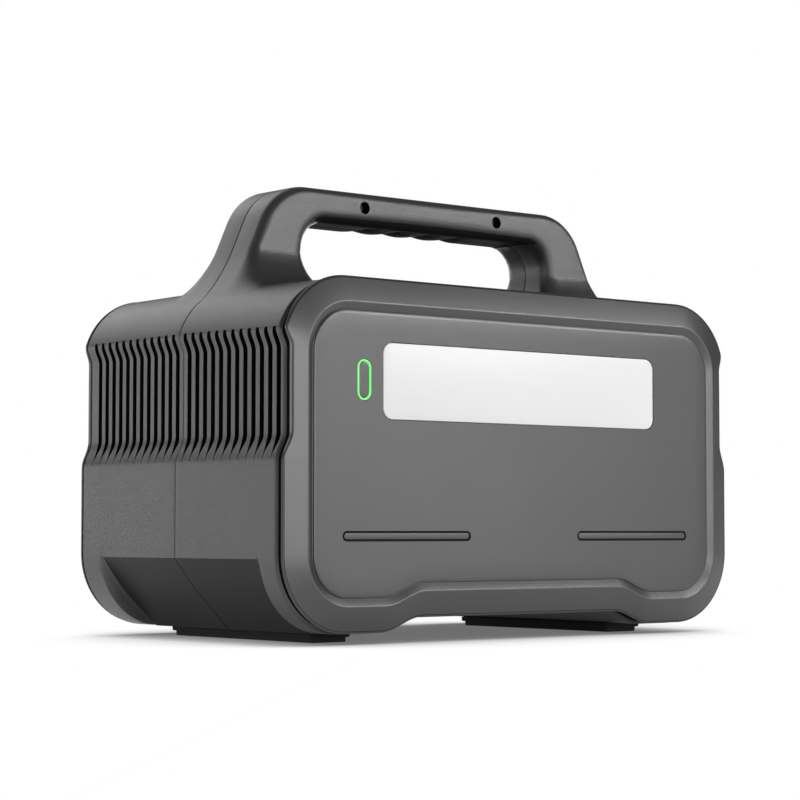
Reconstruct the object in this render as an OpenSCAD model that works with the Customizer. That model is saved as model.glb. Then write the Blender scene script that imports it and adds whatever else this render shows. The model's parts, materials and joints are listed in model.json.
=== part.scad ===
// Portable power station: two half shells with a moulded carry handle, a cover on each
// end, a lamp on one end and the outlets on the other, round a battery and an inverter.
// X runs across the width, Y from the lamp end to the outlet end, Z up from the floor.

/* [Case] */
// Width over the two side walls
body_w = 303.2; // [290:0.1:330]
// Height of the case without feet and handle
body_h = 172; // [168:0.5:190]
// Depth over the ends of the two half shells
shell_d = 172.4; // [166:0.1:200]
// Outer corner radius of the case
corner_r = 38; // [32:0.5:42]
// Thickness of the shell walls
wall = 2.8; // [2:0.1:3.5]
// Depth of the rebate that leaves a shadow line round each cover
rebate_d = 6; // [1:0.1:7]
// Height of that rebate below the side wall
rebate_h = 1.4; // [0.5:0.1:2]
// Rise of the channel that runs along the underside
channel_h = 7; // [3:0.5:9]
// Flat width of the channel
channel_w = 138; // [120:1:150]
// Width of each sloping side of the channel
channel_slope = 19; // [10:0.5:22]

/* [Waist and vents] */
// Depth by which the waist is drawn in
waist_depth = 4.8; // [2:0.1:7]
// Height of the lower end of the waist
waist_low_z = 90; // [86:0.5:94]
// Height of the upper end of the waist
waist_high_z = 150; // [146:0.5:154]
// Height of the slope at the lower end
waist_low_slope = 9; // [5:0.5:12]
// Height of the slope at the upper end
waist_high_slope = 7; // [4:0.5:10]
// Vent slots on each side of each half shell
vent_count = 12; // [6:1:12]
// Distance between vent slots
vent_pitch = 6.53; // [5:0.01:6.6]
// Distance of the first slot from the seam
vent_first = 5.1; // [4:0.1:6]
// Width of a vent slot
vent_w = 3.4; // [1.5:0.1:3.8]
// Rest of the waist left above and below a slot
vent_margin = 2; // [1:0.5:5]

/* [Handle] */
// Height of the handle above the case
handle_h = 53; // [50:0.5:65]
// Depth of the grip from front to back
grip_d = 36.5; // [28:0.5:40]
// Rounding along the grip
grip_r = 5; // [3:0.5:11]
// Outer radius of the handle's corners
handle_r = 32; // [26:0.5:36]
// Distance between the centres of those corners
handle_span = 164; // [156:1:176]
// Lean of the legs from upright, in degrees
leg_lean = 24.2; // [15:0.1:30]
// Length of the opening for the hand
hand_w = 168.5; // [150:0.5:176]
// Height of the opening for the hand
hand_h = 32; // [28:0.5:34]
// Thickness left between the opening and the case
hand_sill = 4; // [2:0.5:6]
// Radius of the flare where the handle meets the case
flare_r = 14; // [6:0.5:18]
// Number of finger grooves
finger_count = 5; // [0:1:6]
// Distance between finger grooves
finger_pitch = 20; // [16:0.5:24]
// Radius of a finger groove
finger_r = 26; // [18:0.5:40]
// Depth of a finger groove
finger_depth = 2; // [0.5:0.1:3]
// Hollow of the grip from top to bottom
grip_hollow = 7; // [3:0.5:9]
// Distance between the two handle screws
handle_screw_gap = 92; // [70:1:110]
// Depth of the counterbores for those screws
handle_sink = 8; // [4:0.5:12]

/* [Hand holds] */
// Height of the top edge of the side hand holds
hold_z = 40; // [34:0.5:46]
// Length of a hand hold
hold_l = 116; // [90:1:130]
// Depth of a hand hold at its middle, across the case
hold_in = 15.6; // [12:0.1:18]
// Height from its top edge down to its middle
hold_drop = 21.4; // [18:0.1:24]
// Depth of a hand hold at the underside
hold_foot = 31; // [26:0.5:33]

/* [Covers] */
// Inset of a cover from the side wall
cover_inset = 0.5; // [0.3:0.1:2.5]
// Thickness of a cover at its edge
cover_edge_t = 1.4; // [1:0.1:2]
// Thickness from the shell to the flat face
cover_t = 4.2; // [3.8:0.1:6]
// Width of the sloping rim
rim_w = 12.8; // [8:0.1:14]
// Height of the ridge above the flat face
ridge_h = 0.7; // [0.3:0.1:1.2]
// Width of the groove inside the ridge
groove_w = 3.7; // [2:0.1:5]
// Depth of the groove below the flat face
groove_d = 0.8; // [0.3:0.1:1.2]
// Wall of the flat face
face_t = 2.2; // [1.8:0.1:2.6]
// Diameter of a cover's locating pegs
peg_d = 5; // [3:0.5:6]
// Reach of the pegs into the case
peg_l = 6; // [4:0.5:9]
// Length of a trim strip
strip_l = 80.7; // [40:0.1:90]
// Height of a trim strip
strip_h = 3.9; // [2.5:0.1:6]
// Gap in the middle between the trim strips
strip_gap = 73.2; // [60:0.1:100]
// Height of the trim strips above the floor
strip_z = 51.8; // [46:0.1:60]
// Depth of the seat that a trim strip lies in
strip_seat = 1.2; // [0.8:0.1:1.5]
// How far a trim strip lies below the flat face
strip_sink = 0.5; // [0.2:0.1:0.7]

/* [Feet] */
// Height of the feet
foot_h = 5; // [4:0.1:8]
// Height of the lower pad of a foot
pad_h = 2.4; // [1.5:0.1:3]
// Width of the lower pad
pad_w = 21; // [16:0.5:24]
// Length of the lower pad
pad_l = 116; // [90:1:124]
// Step from the pad out to the base
foot_step = 2; // [1:0.1:2.5]
// Distance between the centre lines of the feet
foot_span = 200.6; // [198:0.2:204]
// Distance between the two screws of a foot
foot_screw_gap = 80; // [60:1:96]

/* [Lamp] */
// Width of the lamp window
lamp_w = 185; // [150:0.5:188]
// Height of the lamp window
lamp_h = 37; // [28:0.5:38]
// Height of the middle of the lamp
lamp_z = 126.6; // [124:0.1:129]
// Corner radius of the lamp window
lamp_r = 5.4; // [3:0.1:8]
// Width of the lip that holds the lens
lens_lip = 2.5; // [1.5:0.1:3]
// Depth of the reflector behind the lens
reflector_d = 11.2; // [9.2:0.1:12]
// Lamp rows of light-emitting diodes
led_rows = 2; // [1:1:3]
// Diodes in a row
led_count = 12; // [4:1:16]
// Distance from the lamp window to the middle of the lamp button
button_gap = 11.7; // [10.6:0.1:13.5]
// Width of the light ring round the button
ring_w = 8.7; // [7:0.1:9]
// Height of the light ring
ring_h = 19.7; // [14:0.1:22]
// Width of the ring's band
ring_t = 1.3; // [0.8:0.1:1.6]

/* [Battery] */
// Diameter of a cell
cell_d = 33.4; // [32:0.1:34.4]
// Length of a cell
cell_l = 140.5; // [120:0.5:144]
// Gap between cells
cell_gap = 0.8; // [0.5:0.1:1.5]
// Cells side by side
cell_columns = 6; // [4:2:6]
// Layers of cells
cell_rows = 2; // [1:1:2]
// Depth of a cell's seat in its holder
cell_seat = 8; // [5:0.5:12]
// Wall of a cell holder
holder_wall = 2.4; // [1.6:0.1:3]

/* [Electronics] */
// Thickness of the chassis plate
plate_t = 1.5; // [1:0.1:2]
// Height of the standoffs under the inverter board
standoff_h = 8; // [5:0.5:12]
// Thickness of the circuit boards
board_t = 1.6; // [1:0.1:2]
// Height of the heat sinks
sink_h = 34; // [20:1:38]
// Fins on a heat sink
sink_fins = 8; // [4:1:10]

/* [Fans] */
// Width of a fan frame
fan_w = 60; // [56:1:62]
// Thickness of a fan frame
fan_t = 15; // [13:0.5:18]
// Distance from a fan to the vents
fan_gap = 9; // [5:0.5:12]
// Diameter of a fan's hub
hub_d = 26; // [20:0.5:30]
// Diameter of a fan's shaft
shaft_d = 4; // [3:0.1:5]
// Blades on a fan
blade_count = 7; // [5:1:9]

/* [Outlets] */
// Width and height of a mains socket
socket_w = 34; // [32:0.5:36]
// Depth of a mains socket
socket_d = 28; // [22:0.5:34]
// Distance between the mains sockets
socket_pitch = 42; // [39:0.5:44]
// Bore of the round socket
car_bore = 21; // [20:0.1:22]
// Depth of the round socket's bore
car_depth = 38; // [30:0.5:42]
// Width of the display window
display_w = 70; // [50:1:72]
// Height of the display window
display_h = 28; // [20:1:30]
// Length of an outlet key
key_w = 14; // [10:0.5:16]
// Height of an outlet key
key_h = 6.5; // [5:0.1:7]

/* [Fits] */
// Clearance round a piece that is fixed in a hole
fixed_fit = 0.15; // [0.1:0.05:0.3]
// Clearance round a key that travels
key_fit = 0.3; // [0.25:0.05:0.4]
// Travel of the lamp button and the outlet keys
key_travel = 1; // [0.5:0.1:1.1]
// Clearance between a fan's shaft and its rotor
shaft_fit = 0.05; // [0.02:0.01:0.1]

/* [Hidden] */
$fn = 64;
eps = 0.01;
big = 1000;
top_z = foot_h + body_h;
mid_z = foot_h + body_h / 2;
half_w = body_w / 2;
end_y = shell_d / 2;
inner_y = end_y - wall;
face_y = end_y + cover_t;
inner_face_y = face_y - face_t;
handle_top = top_z + handle_h;
waist_x = half_w - waist_depth;
floor_z = foot_h + channel_h + wall;

// Handle outline: corner centres, the lean of its legs and the point where they spread
leg_normal = [cos(leg_lean), sin(leg_lean)];
corner_c = [handle_span / 2, handle_top - handle_r];
leg_top = corner_c + handle_r * leg_normal;
shoulder = [half_w - corner_r + corner_r * cos(45), top_z - corner_r + corner_r * sin(45)];
spread_z = (leg_top[0] + leg_top[1] * tan(leg_lean) - shoulder[0] - shoulder[1]) / (tan(leg_lean) - 1);
spread = [shoulder[0] + shoulder[1] - spread_z, spread_z];
hand_z = top_z + hand_sill + hand_h / 2;
hand_top = hand_z + hand_h / 2;
grip_t = handle_top - hand_top;
hollow_z = handle_top - (grip_t - finger_depth) / 2 + finger_depth / 4;
grip_wall = 3;

// Screws: diameters of shank, head and holes
screw_d = 4;
screw_head_d = 7;
screw_head_h = 2.6;
small_screw_d = 3;
small_head_d = 5.6;
small_head_h = 2;
screw_fit = 0.2;
post_d = 11;
post_low_in = 17.5;
post_low_drop = 6;
post_high_in = 27.6;
post_high_drop = 17;
post_places = [
  [half_w - post_low_in, hold_z - post_low_drop],
  [half_w - post_high_in, top_z - post_high_drop]
];
post_web = 10;
post_grip = 14;
boss_d = 8;

// Covers: pegs near the corners of the flat face
peg_in = 50;
peg_up = 45;
peg_drop = 14;
peg_x = half_w - peg_in;
peg_low_z = foot_h + peg_up;
peg_high_z = top_z - peg_drop;
cavity_inset = cover_inset + rim_w + groove_w + 1.5;
strip_x = strip_gap / 2 + strip_l / 2;

// Lamp: lip, reflector and board stand behind each other
lip_t = (inner_face_y - end_y) / 2;
reflector_wall = 1.6;
reflector_w = lamp_w + 2 * reflector_wall;
reflector_h = lamp_h + 2 * reflector_wall;
lamp_board_y = end_y + lip_t - reflector_d;
lamp_board_h = lamp_h + 6;
led_size = [3.2, 1, 3.2];
ring_flange = 1.2;
ring_flange_t = 0.6;
ring_proud = 0.2;
button_w = ring_w - 2 * ring_t - 2 * key_fit;
button_h = ring_h - 2 * ring_t - 2 * key_fit;
button_sink = 0.2;
key_flange = 0.9;
key_flange_t = 0.6;
stem_d = 4;
switch_w = 6.2;
switch_h = 3.5;
plunger_d = 3.4;
plunger_up = 1.5;
plunger_in = 1.2;
button_flange_y = inner_face_y - ring_flange_t - key_fit;
plunger_y = lamp_board_y + switch_h + plunger_up;
button_x = lamp_w / 2 + button_gap;
board_left = button_x + switch_w / 2 + 4;
board_right = lamp_w / 2 + 3;

// Battery: cells lie along Y between two holders that stand on the channel
cell_pitch = cell_d + cell_gap;
pack_w = cell_columns * cell_pitch + 2 * holder_wall;
pack_h = cell_rows * cell_pitch + 2 * holder_wall;
pack_top = floor_z + pack_h;
holder_end = 2;
holder_thread = 8;
holder_in_y = cell_l / 2 - cell_seat;
holder_out_y = cell_l / 2 + holder_end;
contact_d = 20;
busbar_t = 0.5;
bms_margin = 4;
bms_h = pack_h - 2 * bms_margin;
bms_z = floor_z + bms_margin;
bms_x = pack_w / 2;
bms_chip = [4, 10, 14];
bms_chip_pitch = 18;
bms_chip_in = 6;
terminal = [17, 8, 8];
lead_d = 5;
lead_gap = 14;
terminal_z = bms_z + bms_h - terminal[2] - 2;
lead_y = -48;
lead_x = -(bms_x + board_t + terminal[0] / 2);

// Chassis and inverter: a plate on the pack with a wall for each fan
plate_top = pack_top + plate_t;
vent_low_z = waist_low_z + vent_margin;
vent_high_z = waist_high_z - vent_margin;
fan_z = (vent_low_z + vent_high_z) / 2;
fan_in_x = waist_x - wall - fan_gap - fan_t;
chassis_x = fan_in_x;
fan_wall_w = fan_w + 8;
fan_wall_top = fan_z + fan_w / 2 + 2;
fan_bore = fan_w - 3;
fan_hole = fan_w / 2 - 5;
chassis_y = holder_out_y;
board_z = plate_top + standoff_h;
board_top = board_z + board_t;
board_x = chassis_x - plate_t - 6.5;
lead_clear = 3;
lead_in = 6;
notch_x = min(board_x, -lead_x - lead_d / 2 - lead_clear);
notch_l = lead_gap + lead_d + 2 * lead_clear;
board_front = -chassis_y + 2;
board_back = 28;
standoff_d = 6;
standoff_in = 5;
sink_w = 60;
sink_l = 44;
sink_base = 5;
fin_t = 2;
sink_share = 0.595;
sink_x = sink_share * notch_x;
sink_y = -22;
transistor = [15, 5, 20];
transistor_pitch = 20;
transformer = [46, 38, 36];
core_window = 22;
coil_gap = 1;
coil_over = 12;
cap_d = 18;
cap_h = 34;
cap_x = [-62, -38, 38, 62];
cap_y = board_front + 13;
choke_d = 22;
choke_h = 11;
choke_x = 24;
choke_y = 16.5;

// Fan: frame, spokes and shaft, with the rotor running on the shaft
spoke_t = 2.5;
rotor_gap = 0.4;
tip_gap = 1;
rotor_in_x = fan_in_x + spoke_t + rotor_gap;
rotor_t = fan_t - spoke_t - 2 * rotor_gap - 0.6;
blade_t = 1.4;
blade_pitch = 38;
hub_root = 1.5;

// Outlets: places on the outlet cover, with the board behind them
outlet_z = fan_z + 1;
socket_share = 0.574;
socket_x = socket_share * half_w - socket_pitch / 2;
socket_r = 3;
car_in = 43.6;
car_x = car_in - half_w;
car_wall = 3;
car_flange = 3;
car_contact_d = 6;
outlet_lip = 1.5;
outlet_lip_t = 1;
display_share = 0.033;
display_x = -display_share * half_w;
display_z = outlet_z + 12;
display_t = 6;
display_r = 3;
key_step = 33;
key_x = [display_x - key_step, display_x, display_x + key_step];
key_z = outlet_z - 11;
port_z = outlet_z - 23;
usb_a_pitch = 22;
usb_c_pitch = 20;
usb_a_x = [display_x - key_step, display_x - key_step + usb_a_pitch];
usb_c_x = [display_x + usb_a_pitch / 2, display_x + usb_a_pitch / 2 + usb_c_pitch];
usb_a = [14.5, 7];
usb_a_mouth = [12.6, 5.2];
usb_c = [10.6, 5];
usb_c_mouth = [8.6, 2.9];
usb_depth = 11;
tongue_t = 1.6;
dc_share = 0.4485;
dc_x = -dc_share * half_w;
dc_pitch = 18;
dc_drop = 4;
dc_z = [outlet_z - dc_drop + dc_pitch, outlet_z - dc_drop];
dc_d = 12;
dc_bore = 5.7;
dc_pin = 2.1;
dc_depth = 9.5;
input_z = outlet_z - dc_drop - dc_pitch;
input_bore = 8;
input_pin = 1.1;
port_depth = 16.6;
outlet_board_y = inner_face_y - port_depth;
outlet_board_h = 60;
outlet_board_left = 21;
outlet_board_right = 48;
outlet_board = [
  dc_x - outlet_board_left, display_x + outlet_board_right, outlet_z - outlet_board_h / 2,
  outlet_z + outlet_board_h / 2
];
board_post_in = 4.5;
board_thread = 9;
window_in = 16;
window_over = 8;
window_under = 1;
window_w = 2 * (half_w - window_in);
window_low = outlet_z - outlet_board_h / 2 - window_under;
window_high = display_z + display_h / 2 + window_over;
slot_w = 2.2;
slot_h = 7.5;
slot_gap = 12.7;
earth_d = 5.4;
earth_drop = 11;
slot_rise = 4;

shell_colour = "dimgray";
cover_colour = "gray";
board_colour = "darkgreen";
steel_colour = "silver";
black = [0.08, 0.08, 0.09];

// Shared shapes

// Extrudes a profile drawn in X and Z from y0 to y1
module slab(y0, y1)
  translate([0, y1, 0]) rotate([90, 0, 0]) linear_extrude(y1 - y0) children();

// Extrudes a profile drawn in Y and Z from x0 to x1
module beam(x0, x1)
  translate([x0, 0, 0]) rotate([90, 0, 90]) linear_extrude(x1 - x0) children();

// Cylinder along Y from y0 to y1, at x and z
module rod_y(x, z, d, y0, y1)
  translate([x, y1, z]) rotate([90, 0, 0]) cylinder(d = d, h = y1 - y0);

// Cylinder along X from x0 to x1, at y and z
module rod_x(y, z, d, x0, x1)
  translate([x0, y, z]) rotate([0, 90, 0]) cylinder(d = d, h = x1 - x0);

// Box between two corners
module block(low, high)
  translate(low) cube(high - low);

module rounded_rect(w, h, r) {
  square([w - 2 * r, h], center = true);
  square([w, h - 2 * r], center = true);
  for (sx = [-1, 1], sz = [-1, 1])
    translate([sx * (w / 2 - r), sz * (h / 2 - r)]) circle(r);
}

// Round-ended bar, longer across than high
module bar_shape(w, h) {
  square([w - h, h], center = true);
  for (s = [-1, 1]) translate([s * (w - h) / 2, 0]) circle(d = h);
}

// Round-ended bar, longer up than across
module slot_shape(w, h) {
  square([w, h - w], center = true);
  for (s = [-1, 1]) translate([0, s * (h - w) / 2]) circle(d = w);
}

module at(x, z)
  translate([x, z]) children();

// Both sides, mirrored about the middle
module both_sides() {
  children();
  mirror([1, 0, 0]) children();
}

// Case

// Region that the waist takes off the right side of an outline
module waist_cut(inset) {
  x = half_w - inset;
  polygon([
    [x + big, waist_low_z], [x, waist_low_z], [x - waist_depth, waist_low_z + waist_low_slope],
    [x - waist_depth, waist_high_z - waist_high_slope], [x, waist_high_z], [x + big, waist_high_z]
  ]);
}

// Region that the channel takes off the underside of an outline
module channel_cut(inset) {
  low = foot_h + inset;
  polygon([
    [-channel_w / 2 - channel_slope, low], [-channel_w / 2, low + channel_h],
    [channel_w / 2, low + channel_h], [channel_w / 2 + channel_slope, low],
    [channel_w / 2 + channel_slope, -big], [-channel_w / 2 - channel_slope, -big]
  ]);
}

module case_outline(inset) {
  difference() {
    at(0, mid_z) rounded_rect(body_w - 2 * inset, body_h - 2 * inset, corner_r - inset);
    both_sides() waist_cut(inset);
    channel_cut(inset);
  }
}

// Scoop under the right side, or the wall round it where grow is the wall's thickness
module hold_scoop(grow) {
  slope = [hold_in, hold_drop] / norm([hold_in, hold_drop]);
  slab(-hold_l / 2 - grow, hold_l / 2 + grow)
    translate([-slope[1] * grow, slope[0] * grow])
      polygon([
        [half_w + big, hold_z + hold_drop / hold_in * big], [half_w, hold_z],
        [half_w - hold_in, hold_z - hold_drop], [half_w - hold_foot, foot_h],
        [half_w - hold_foot - channel_slope, foot_h - channel_slope], [half_w + big, foot_h - channel_slope]
      ]);
}

// Lowest height of the inside at the foot screws
inner_floor = foot_h + wall;

module handle_outline() {
  difference() {
    union() {
      at(0, top_z) square([handle_span, 2 * handle_h], center = true);
      both_sides() {
        at(corner_c[0], corner_c[1]) circle(handle_r);
        polygon([
          [0, top_z - corner_r], [shoulder[0], top_z - corner_r], shoulder, spread, leg_top, corner_c,
          [0, corner_c[1]]
        ]);
      }
    }
    at(0, hand_z) bar_shape(hand_w, hand_h);
    for (i = [0 : 1 : finger_count - 1])
      at((i - (finger_count - 1) / 2) * finger_pitch, hand_top - finger_r + finger_depth) circle(finger_r);
  }
}

// Section of the handle across its depth: round-edged grip and flared foot
module handle_section() {
  at(0, top_z) rounded_rect(grip_d, 2 * handle_h, grip_r);
  difference() {
    at(0, top_z) square([grip_d + 2 * flare_r, 2 * flare_r], center = true);
    for (s = [-1, 1]) at(s * (grip_d / 2 + flare_r), top_z + flare_r) circle(flare_r);
  }
}

module handle()
  intersection() {
    slab(-grip_d / 2 - flare_r, grip_d / 2 + flare_r) handle_outline();
    beam(-half_w, half_w) handle_section();
  }

// Inside of the case, drawn in round the hand holds
module case_cavity()
  difference() {
    slab(-inner_y, eps) case_outline(wall);
    both_sides() hold_scoop(wall);
  }

module vent_slots()
  for (i = [0 : vent_count - 1])
    block([waist_x - wall - 1, -vent_first - i * vent_pitch - vent_w / 2, vent_low_z],
      [half_w + 1, -vent_first - i * vent_pitch + vent_w / 2, vent_high_z]);

// Half shell on the lamp side; the other half is its mirror image
module half_shell() {
  difference() {
    union() {
      slab(-end_y, 0) case_outline(0);
      intersection() {
        handle();
        block([-big, -big, 0], [big, 0, big]);
      }
    }
    case_cavity();
    difference() {
      slab(-end_y - 1, -end_y + rebate_d) at(0, mid_z) square([2 * body_w, 2 * body_h], center = true);
      slab(-end_y - 2, -end_y + rebate_d + 1) case_outline(rebate_h);
    }
    both_sides() {
      vent_slots();
      hold_scoop(0);
    }
    block([-handle_span / 2, -grip_d / 2 + grip_wall, hollow_z - grip_hollow / 2],
      [handle_span / 2, eps, hollow_z + grip_hollow / 2]);
    both_sides() foot_screw_holes();
    cover_peg_holes();
  }
  both_sides() {
    foot_bosses();
    for (p = post_places) rod_y(p[0], p[1], post_d, -inner_y, 0);
    intersection() {
      rod_y(handle_screw_gap / 2, hollow_z, boss_d + 2, -grip_d / 2 + handle_sink, 0);
      block([-big, -big, hollow_z - grip_hollow / 2], [big, 0, hollow_z + grip_hollow / 2]);
    }
  }
}

module foot_screw_holes()
  translate([foot_span / 2, -foot_screw_gap / 2, foot_h - 1])
    cylinder(d = small_screw_d + screw_fit, h = wall + boss_d);

module foot_bosses()
  difference() {
    translate([foot_span / 2, -foot_screw_gap / 2, inner_floor - eps]) cylinder(d = boss_d, h = boss_d - 2);
    foot_screw_holes();
  }

// Holes for the cover pegs in the end wall
module cover_peg_holes()
  for (s = [-1, 1], z = [peg_low_z, peg_high_z])
    rod_y(s * peg_x, z, peg_d + 2 * fixed_fit, -end_y - 1, -inner_y + 1);

module front_shell()
  color(shell_colour)
    difference() {
      half_shell();
      for (s = [-1, 1], p = post_places) {
        rod_y(s * p[0], p[1], screw_head_d + 1, -end_y - 1, -post_web);
        rod_y(s * p[0], p[1], screw_d + screw_fit, -post_web - 1, 1);
      }
      for (s = [-1, 1]) {
        rod_y(s * handle_screw_gap / 2, hollow_z, screw_head_d - 0.5, -grip_d, -grip_d / 2 + handle_sink);
        rod_y(s * handle_screw_gap / 2, hollow_z, screw_d + screw_fit, -grip_d, 1);
      }
      slab(-end_y - 1, -inner_y + 1) {
        at(0, lamp_z) rounded_rect(reflector_w + 2 * fixed_fit, reflector_h + 2 * fixed_fit, lamp_r);
        at(-button_x, lamp_z) slot_shape(button_w + 2 * key_flange + 2, button_h + 2 * key_flange + 2);
      }
    }

module rear_shell()
  color(shell_colour)
    difference() {
      mirror([0, 1, 0]) half_shell();
      for (s = [-1, 1], p = post_places)
        rod_y(s * p[0], p[1], screw_d + screw_fit, -1, post_grip);
      for (s = [-1, 1])
        rod_y(s * handle_screw_gap / 2, hollow_z, screw_d + screw_fit, -1, grip_d / 2 - grip_wall);
      slab(inner_y - 1, end_y + 1)
        at(0, (window_low + window_high) / 2) rounded_rect(window_w, window_high - window_low, corner_r / 4);
    }

// Outline of a cover without its waist, drawn in by inset from the case
module cover_outline(inset) {
  difference() {
    at(0, mid_z) rounded_rect(body_w - 2 * inset, body_h - 2 * inset, corner_r - inset);
    channel_cut(inset);
  }
}

// Cover on the lamp end: sloping rim, ridge, groove and flat face
module cover_blank() {
  rim_drop = cover_t + ridge_h - cover_edge_t;
  shrink = [1 - rim_w / (half_w - cover_inset), 1 - rim_w / (body_h / 2 - cover_inset)];
  difference() {
    union() {
      slab(-end_y - cover_edge_t, -end_y) cover_outline(cover_inset);
      translate([0, -end_y - cover_edge_t + eps, mid_z]) rotate([90, 0, 0])
        linear_extrude(rim_drop, scale = shrink, slices = 1)
          translate([0, -mid_z]) cover_outline(cover_inset);
    }
    slab(-face_y - ridge_h - 1, -face_y) cover_outline(cover_inset + rim_w);
    difference() {
      slab(-face_y - 1, -face_y + groove_d) cover_outline(cover_inset + rim_w);
      slab(-face_y - 2, -face_y + groove_d + 1) cover_outline(cover_inset + rim_w + groove_w);
    }
    slab(-face_y - big, -end_y + 1) both_sides() waist_cut(cover_inset);
    slab(-inner_face_y, -end_y + 1) cover_outline(cavity_inset);
  }
  for (s = [-1, 1], z = [peg_low_z, peg_high_z])
    rod_y(s * peg_x, z, peg_d, -inner_face_y - eps, -end_y + peg_l);
}

module front_cover()
  color(cover_colour)
    difference() {
      cover_blank();
      slab(-face_y - 1, -inner_face_y + 1) {
        at(0, lamp_z) rounded_rect(lamp_w + 2 * fixed_fit, lamp_h + 2 * fixed_fit, lamp_r + fixed_fit);
        at(-button_x, lamp_z) slot_shape(ring_w + 2 * fixed_fit, ring_h + 2 * fixed_fit);
      }
      slab(-face_y - 1, -face_y + strip_seat)
        for (s = [-1, 1]) at(s * strip_x, strip_z) bar_shape(strip_l, strip_h);
    }

module trim_strips()
  color(cover_colour)
    slab(-face_y + strip_sink, -face_y + strip_seat)
      for (s = [-1, 1]) at(s * strip_x, strip_z) bar_shape(strip_l - 1, strip_h - 1);

module rear_cover()
  color(cover_colour)
    difference() {
      union() {
        mirror([0, 1, 0]) cover_blank();
        for (p = board_posts()) rod_y(p[0], p[1], boss_d - 1, outlet_board_y + board_t, inner_face_y + eps);
      }
      for (p = board_posts())
        rod_y(p[0], p[1], small_screw_d + screw_fit, 0, outlet_board_y + board_thread + 1);
      slab(inner_face_y - 1, face_y + 1) {
        for (i = [0, 1])
          at(socket_x + i * socket_pitch, outlet_z)
            rounded_rect(socket_w + 2 * fixed_fit, socket_w + 2 * fixed_fit, socket_r + fixed_fit);
        at(car_x, outlet_z) circle(d = car_bore + 2 * car_wall + 2 * fixed_fit);
        for (z = dc_z) at(dc_x, z) circle(d = dc_d + 2 * fixed_fit);
        at(dc_x, input_z) circle(d = dc_d + 2 * fixed_fit);
        for (x = usb_a_x) at(x, port_z) square(usb_a + 2 * [fixed_fit, fixed_fit], center = true);
        for (x = usb_c_x) at(x, port_z) bar_shape(usb_c[0] + 2 * fixed_fit, usb_c[1] + 2 * fixed_fit);
        at(display_x, display_z)
          rounded_rect(display_w + 2 * fixed_fit, display_h + 2 * fixed_fit, display_r + fixed_fit);
        for (x = key_x) at(x, key_z) bar_shape(key_w + 2 * key_fit, key_h + 2 * key_fit);
      }
    }

// Feet and fasteners

module foot()
  difference() {
    union() {
      translate([foot_span / 2, 0, 0]) linear_extrude(pad_h) rounded_rect(pad_w, pad_l, 1);
      translate([foot_span / 2, 0, pad_h])
        linear_extrude(foot_h - pad_h) rounded_rect(pad_w + 2 * foot_step, pad_l + 2 * foot_step, 2);
    }
    for (s = [-1, 1]) translate([foot_span / 2, s * foot_screw_gap / 2, 0]) {
      translate([0, 0, -1]) cylinder(d = small_screw_d + screw_fit, h = foot_h + 2);
      translate([0, 0, -1]) cylinder(d = small_head_d + 2 * screw_fit, h = small_head_h + 2);
    }
  }

module right_foot() color(black) foot();

module left_foot() color(black) mirror([1, 0, 0]) foot();

// Screw that points down from z = 0: head above, shank below, with a cross recess
module screw(d, head_d, head_h, length)
  difference() {
    union() {
      cylinder(d = head_d, h = head_h);
      translate([0, 0, -length]) cylinder(d = d, h = length + eps);
    }
    for (a = [0, 90]) rotate(a)
      translate([0, 0, head_h]) cube([head_d * 0.6, head_d * 0.14, head_h], center = true);
  }

module foot_screws()
  color(steel_colour)
    for (sx = [-1, 1], sy = [-1, 1])
      translate([sx * foot_span / 2, sy * foot_screw_gap / 2, small_head_h + 1]) mirror([0, 0, 1])
        screw(small_screw_d, small_head_d, small_head_h, foot_h + wall + 1);

module handle_screws()
  color(steel_colour)
    for (s = [-1, 1])
      translate([s * handle_screw_gap / 2, -grip_d / 2 + handle_sink, hollow_z]) rotate([90, 0, 0])
        screw(screw_d, screw_head_d - 1, screw_head_h, grip_d - handle_sink - grip_wall - 1);

module case_screws()
  color(steel_colour)
    for (s = [-1, 1], p = post_places)
      translate([s * p[0], -post_web, p[1]]) rotate([90, 0, 0])
        screw(screw_d, screw_head_d, screw_head_h, post_web + post_grip - 1);

// Lamp

module lamp_lens()
  color("white") {
    slab(-face_y, -inner_face_y + eps) at(0, lamp_z) rounded_rect(lamp_w, lamp_h, lamp_r);
    slab(-inner_face_y, -inner_face_y + lip_t)
      at(0, lamp_z) rounded_rect(lamp_w + 2 * lens_lip, lamp_h + 2 * lens_lip, lamp_r);
  }

module lamp_reflector()
  color("whitesmoke")
    difference() {
      union() {
        slab(-end_y - lip_t, -lamp_board_y) at(0, lamp_z) rounded_rect(reflector_w, reflector_h, lamp_r);
        slab(-end_y - lip_t, -end_y)
          at(0, lamp_z) rounded_rect(lamp_w + 2 * lens_lip, lamp_h + 2 * lens_lip, lamp_r);
      }
      slab(-end_y - lip_t - 1, -lamp_board_y + 1) at(0, lamp_z) rounded_rect(lamp_w, lamp_h, lamp_r);
    }

module lamp_board()
  color(board_colour)
    block([-board_left, -lamp_board_y, lamp_z - lamp_board_h / 2],
      [board_right, -lamp_board_y + board_t, lamp_z + lamp_board_h / 2]);

module lamp_leds()
  color("lightyellow")
    for (i = [0 : led_count - 1], j = [0 : led_rows - 1])
      translate([
        (i - (led_count - 1) / 2) * lamp_w / (led_count + 0.5), -lamp_board_y - led_size[1] / 2,
        lamp_z + (j - (led_rows - 1) / 2) * lamp_h / (led_rows + 0.5)
      ]) cube(led_size, center = true);

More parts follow.
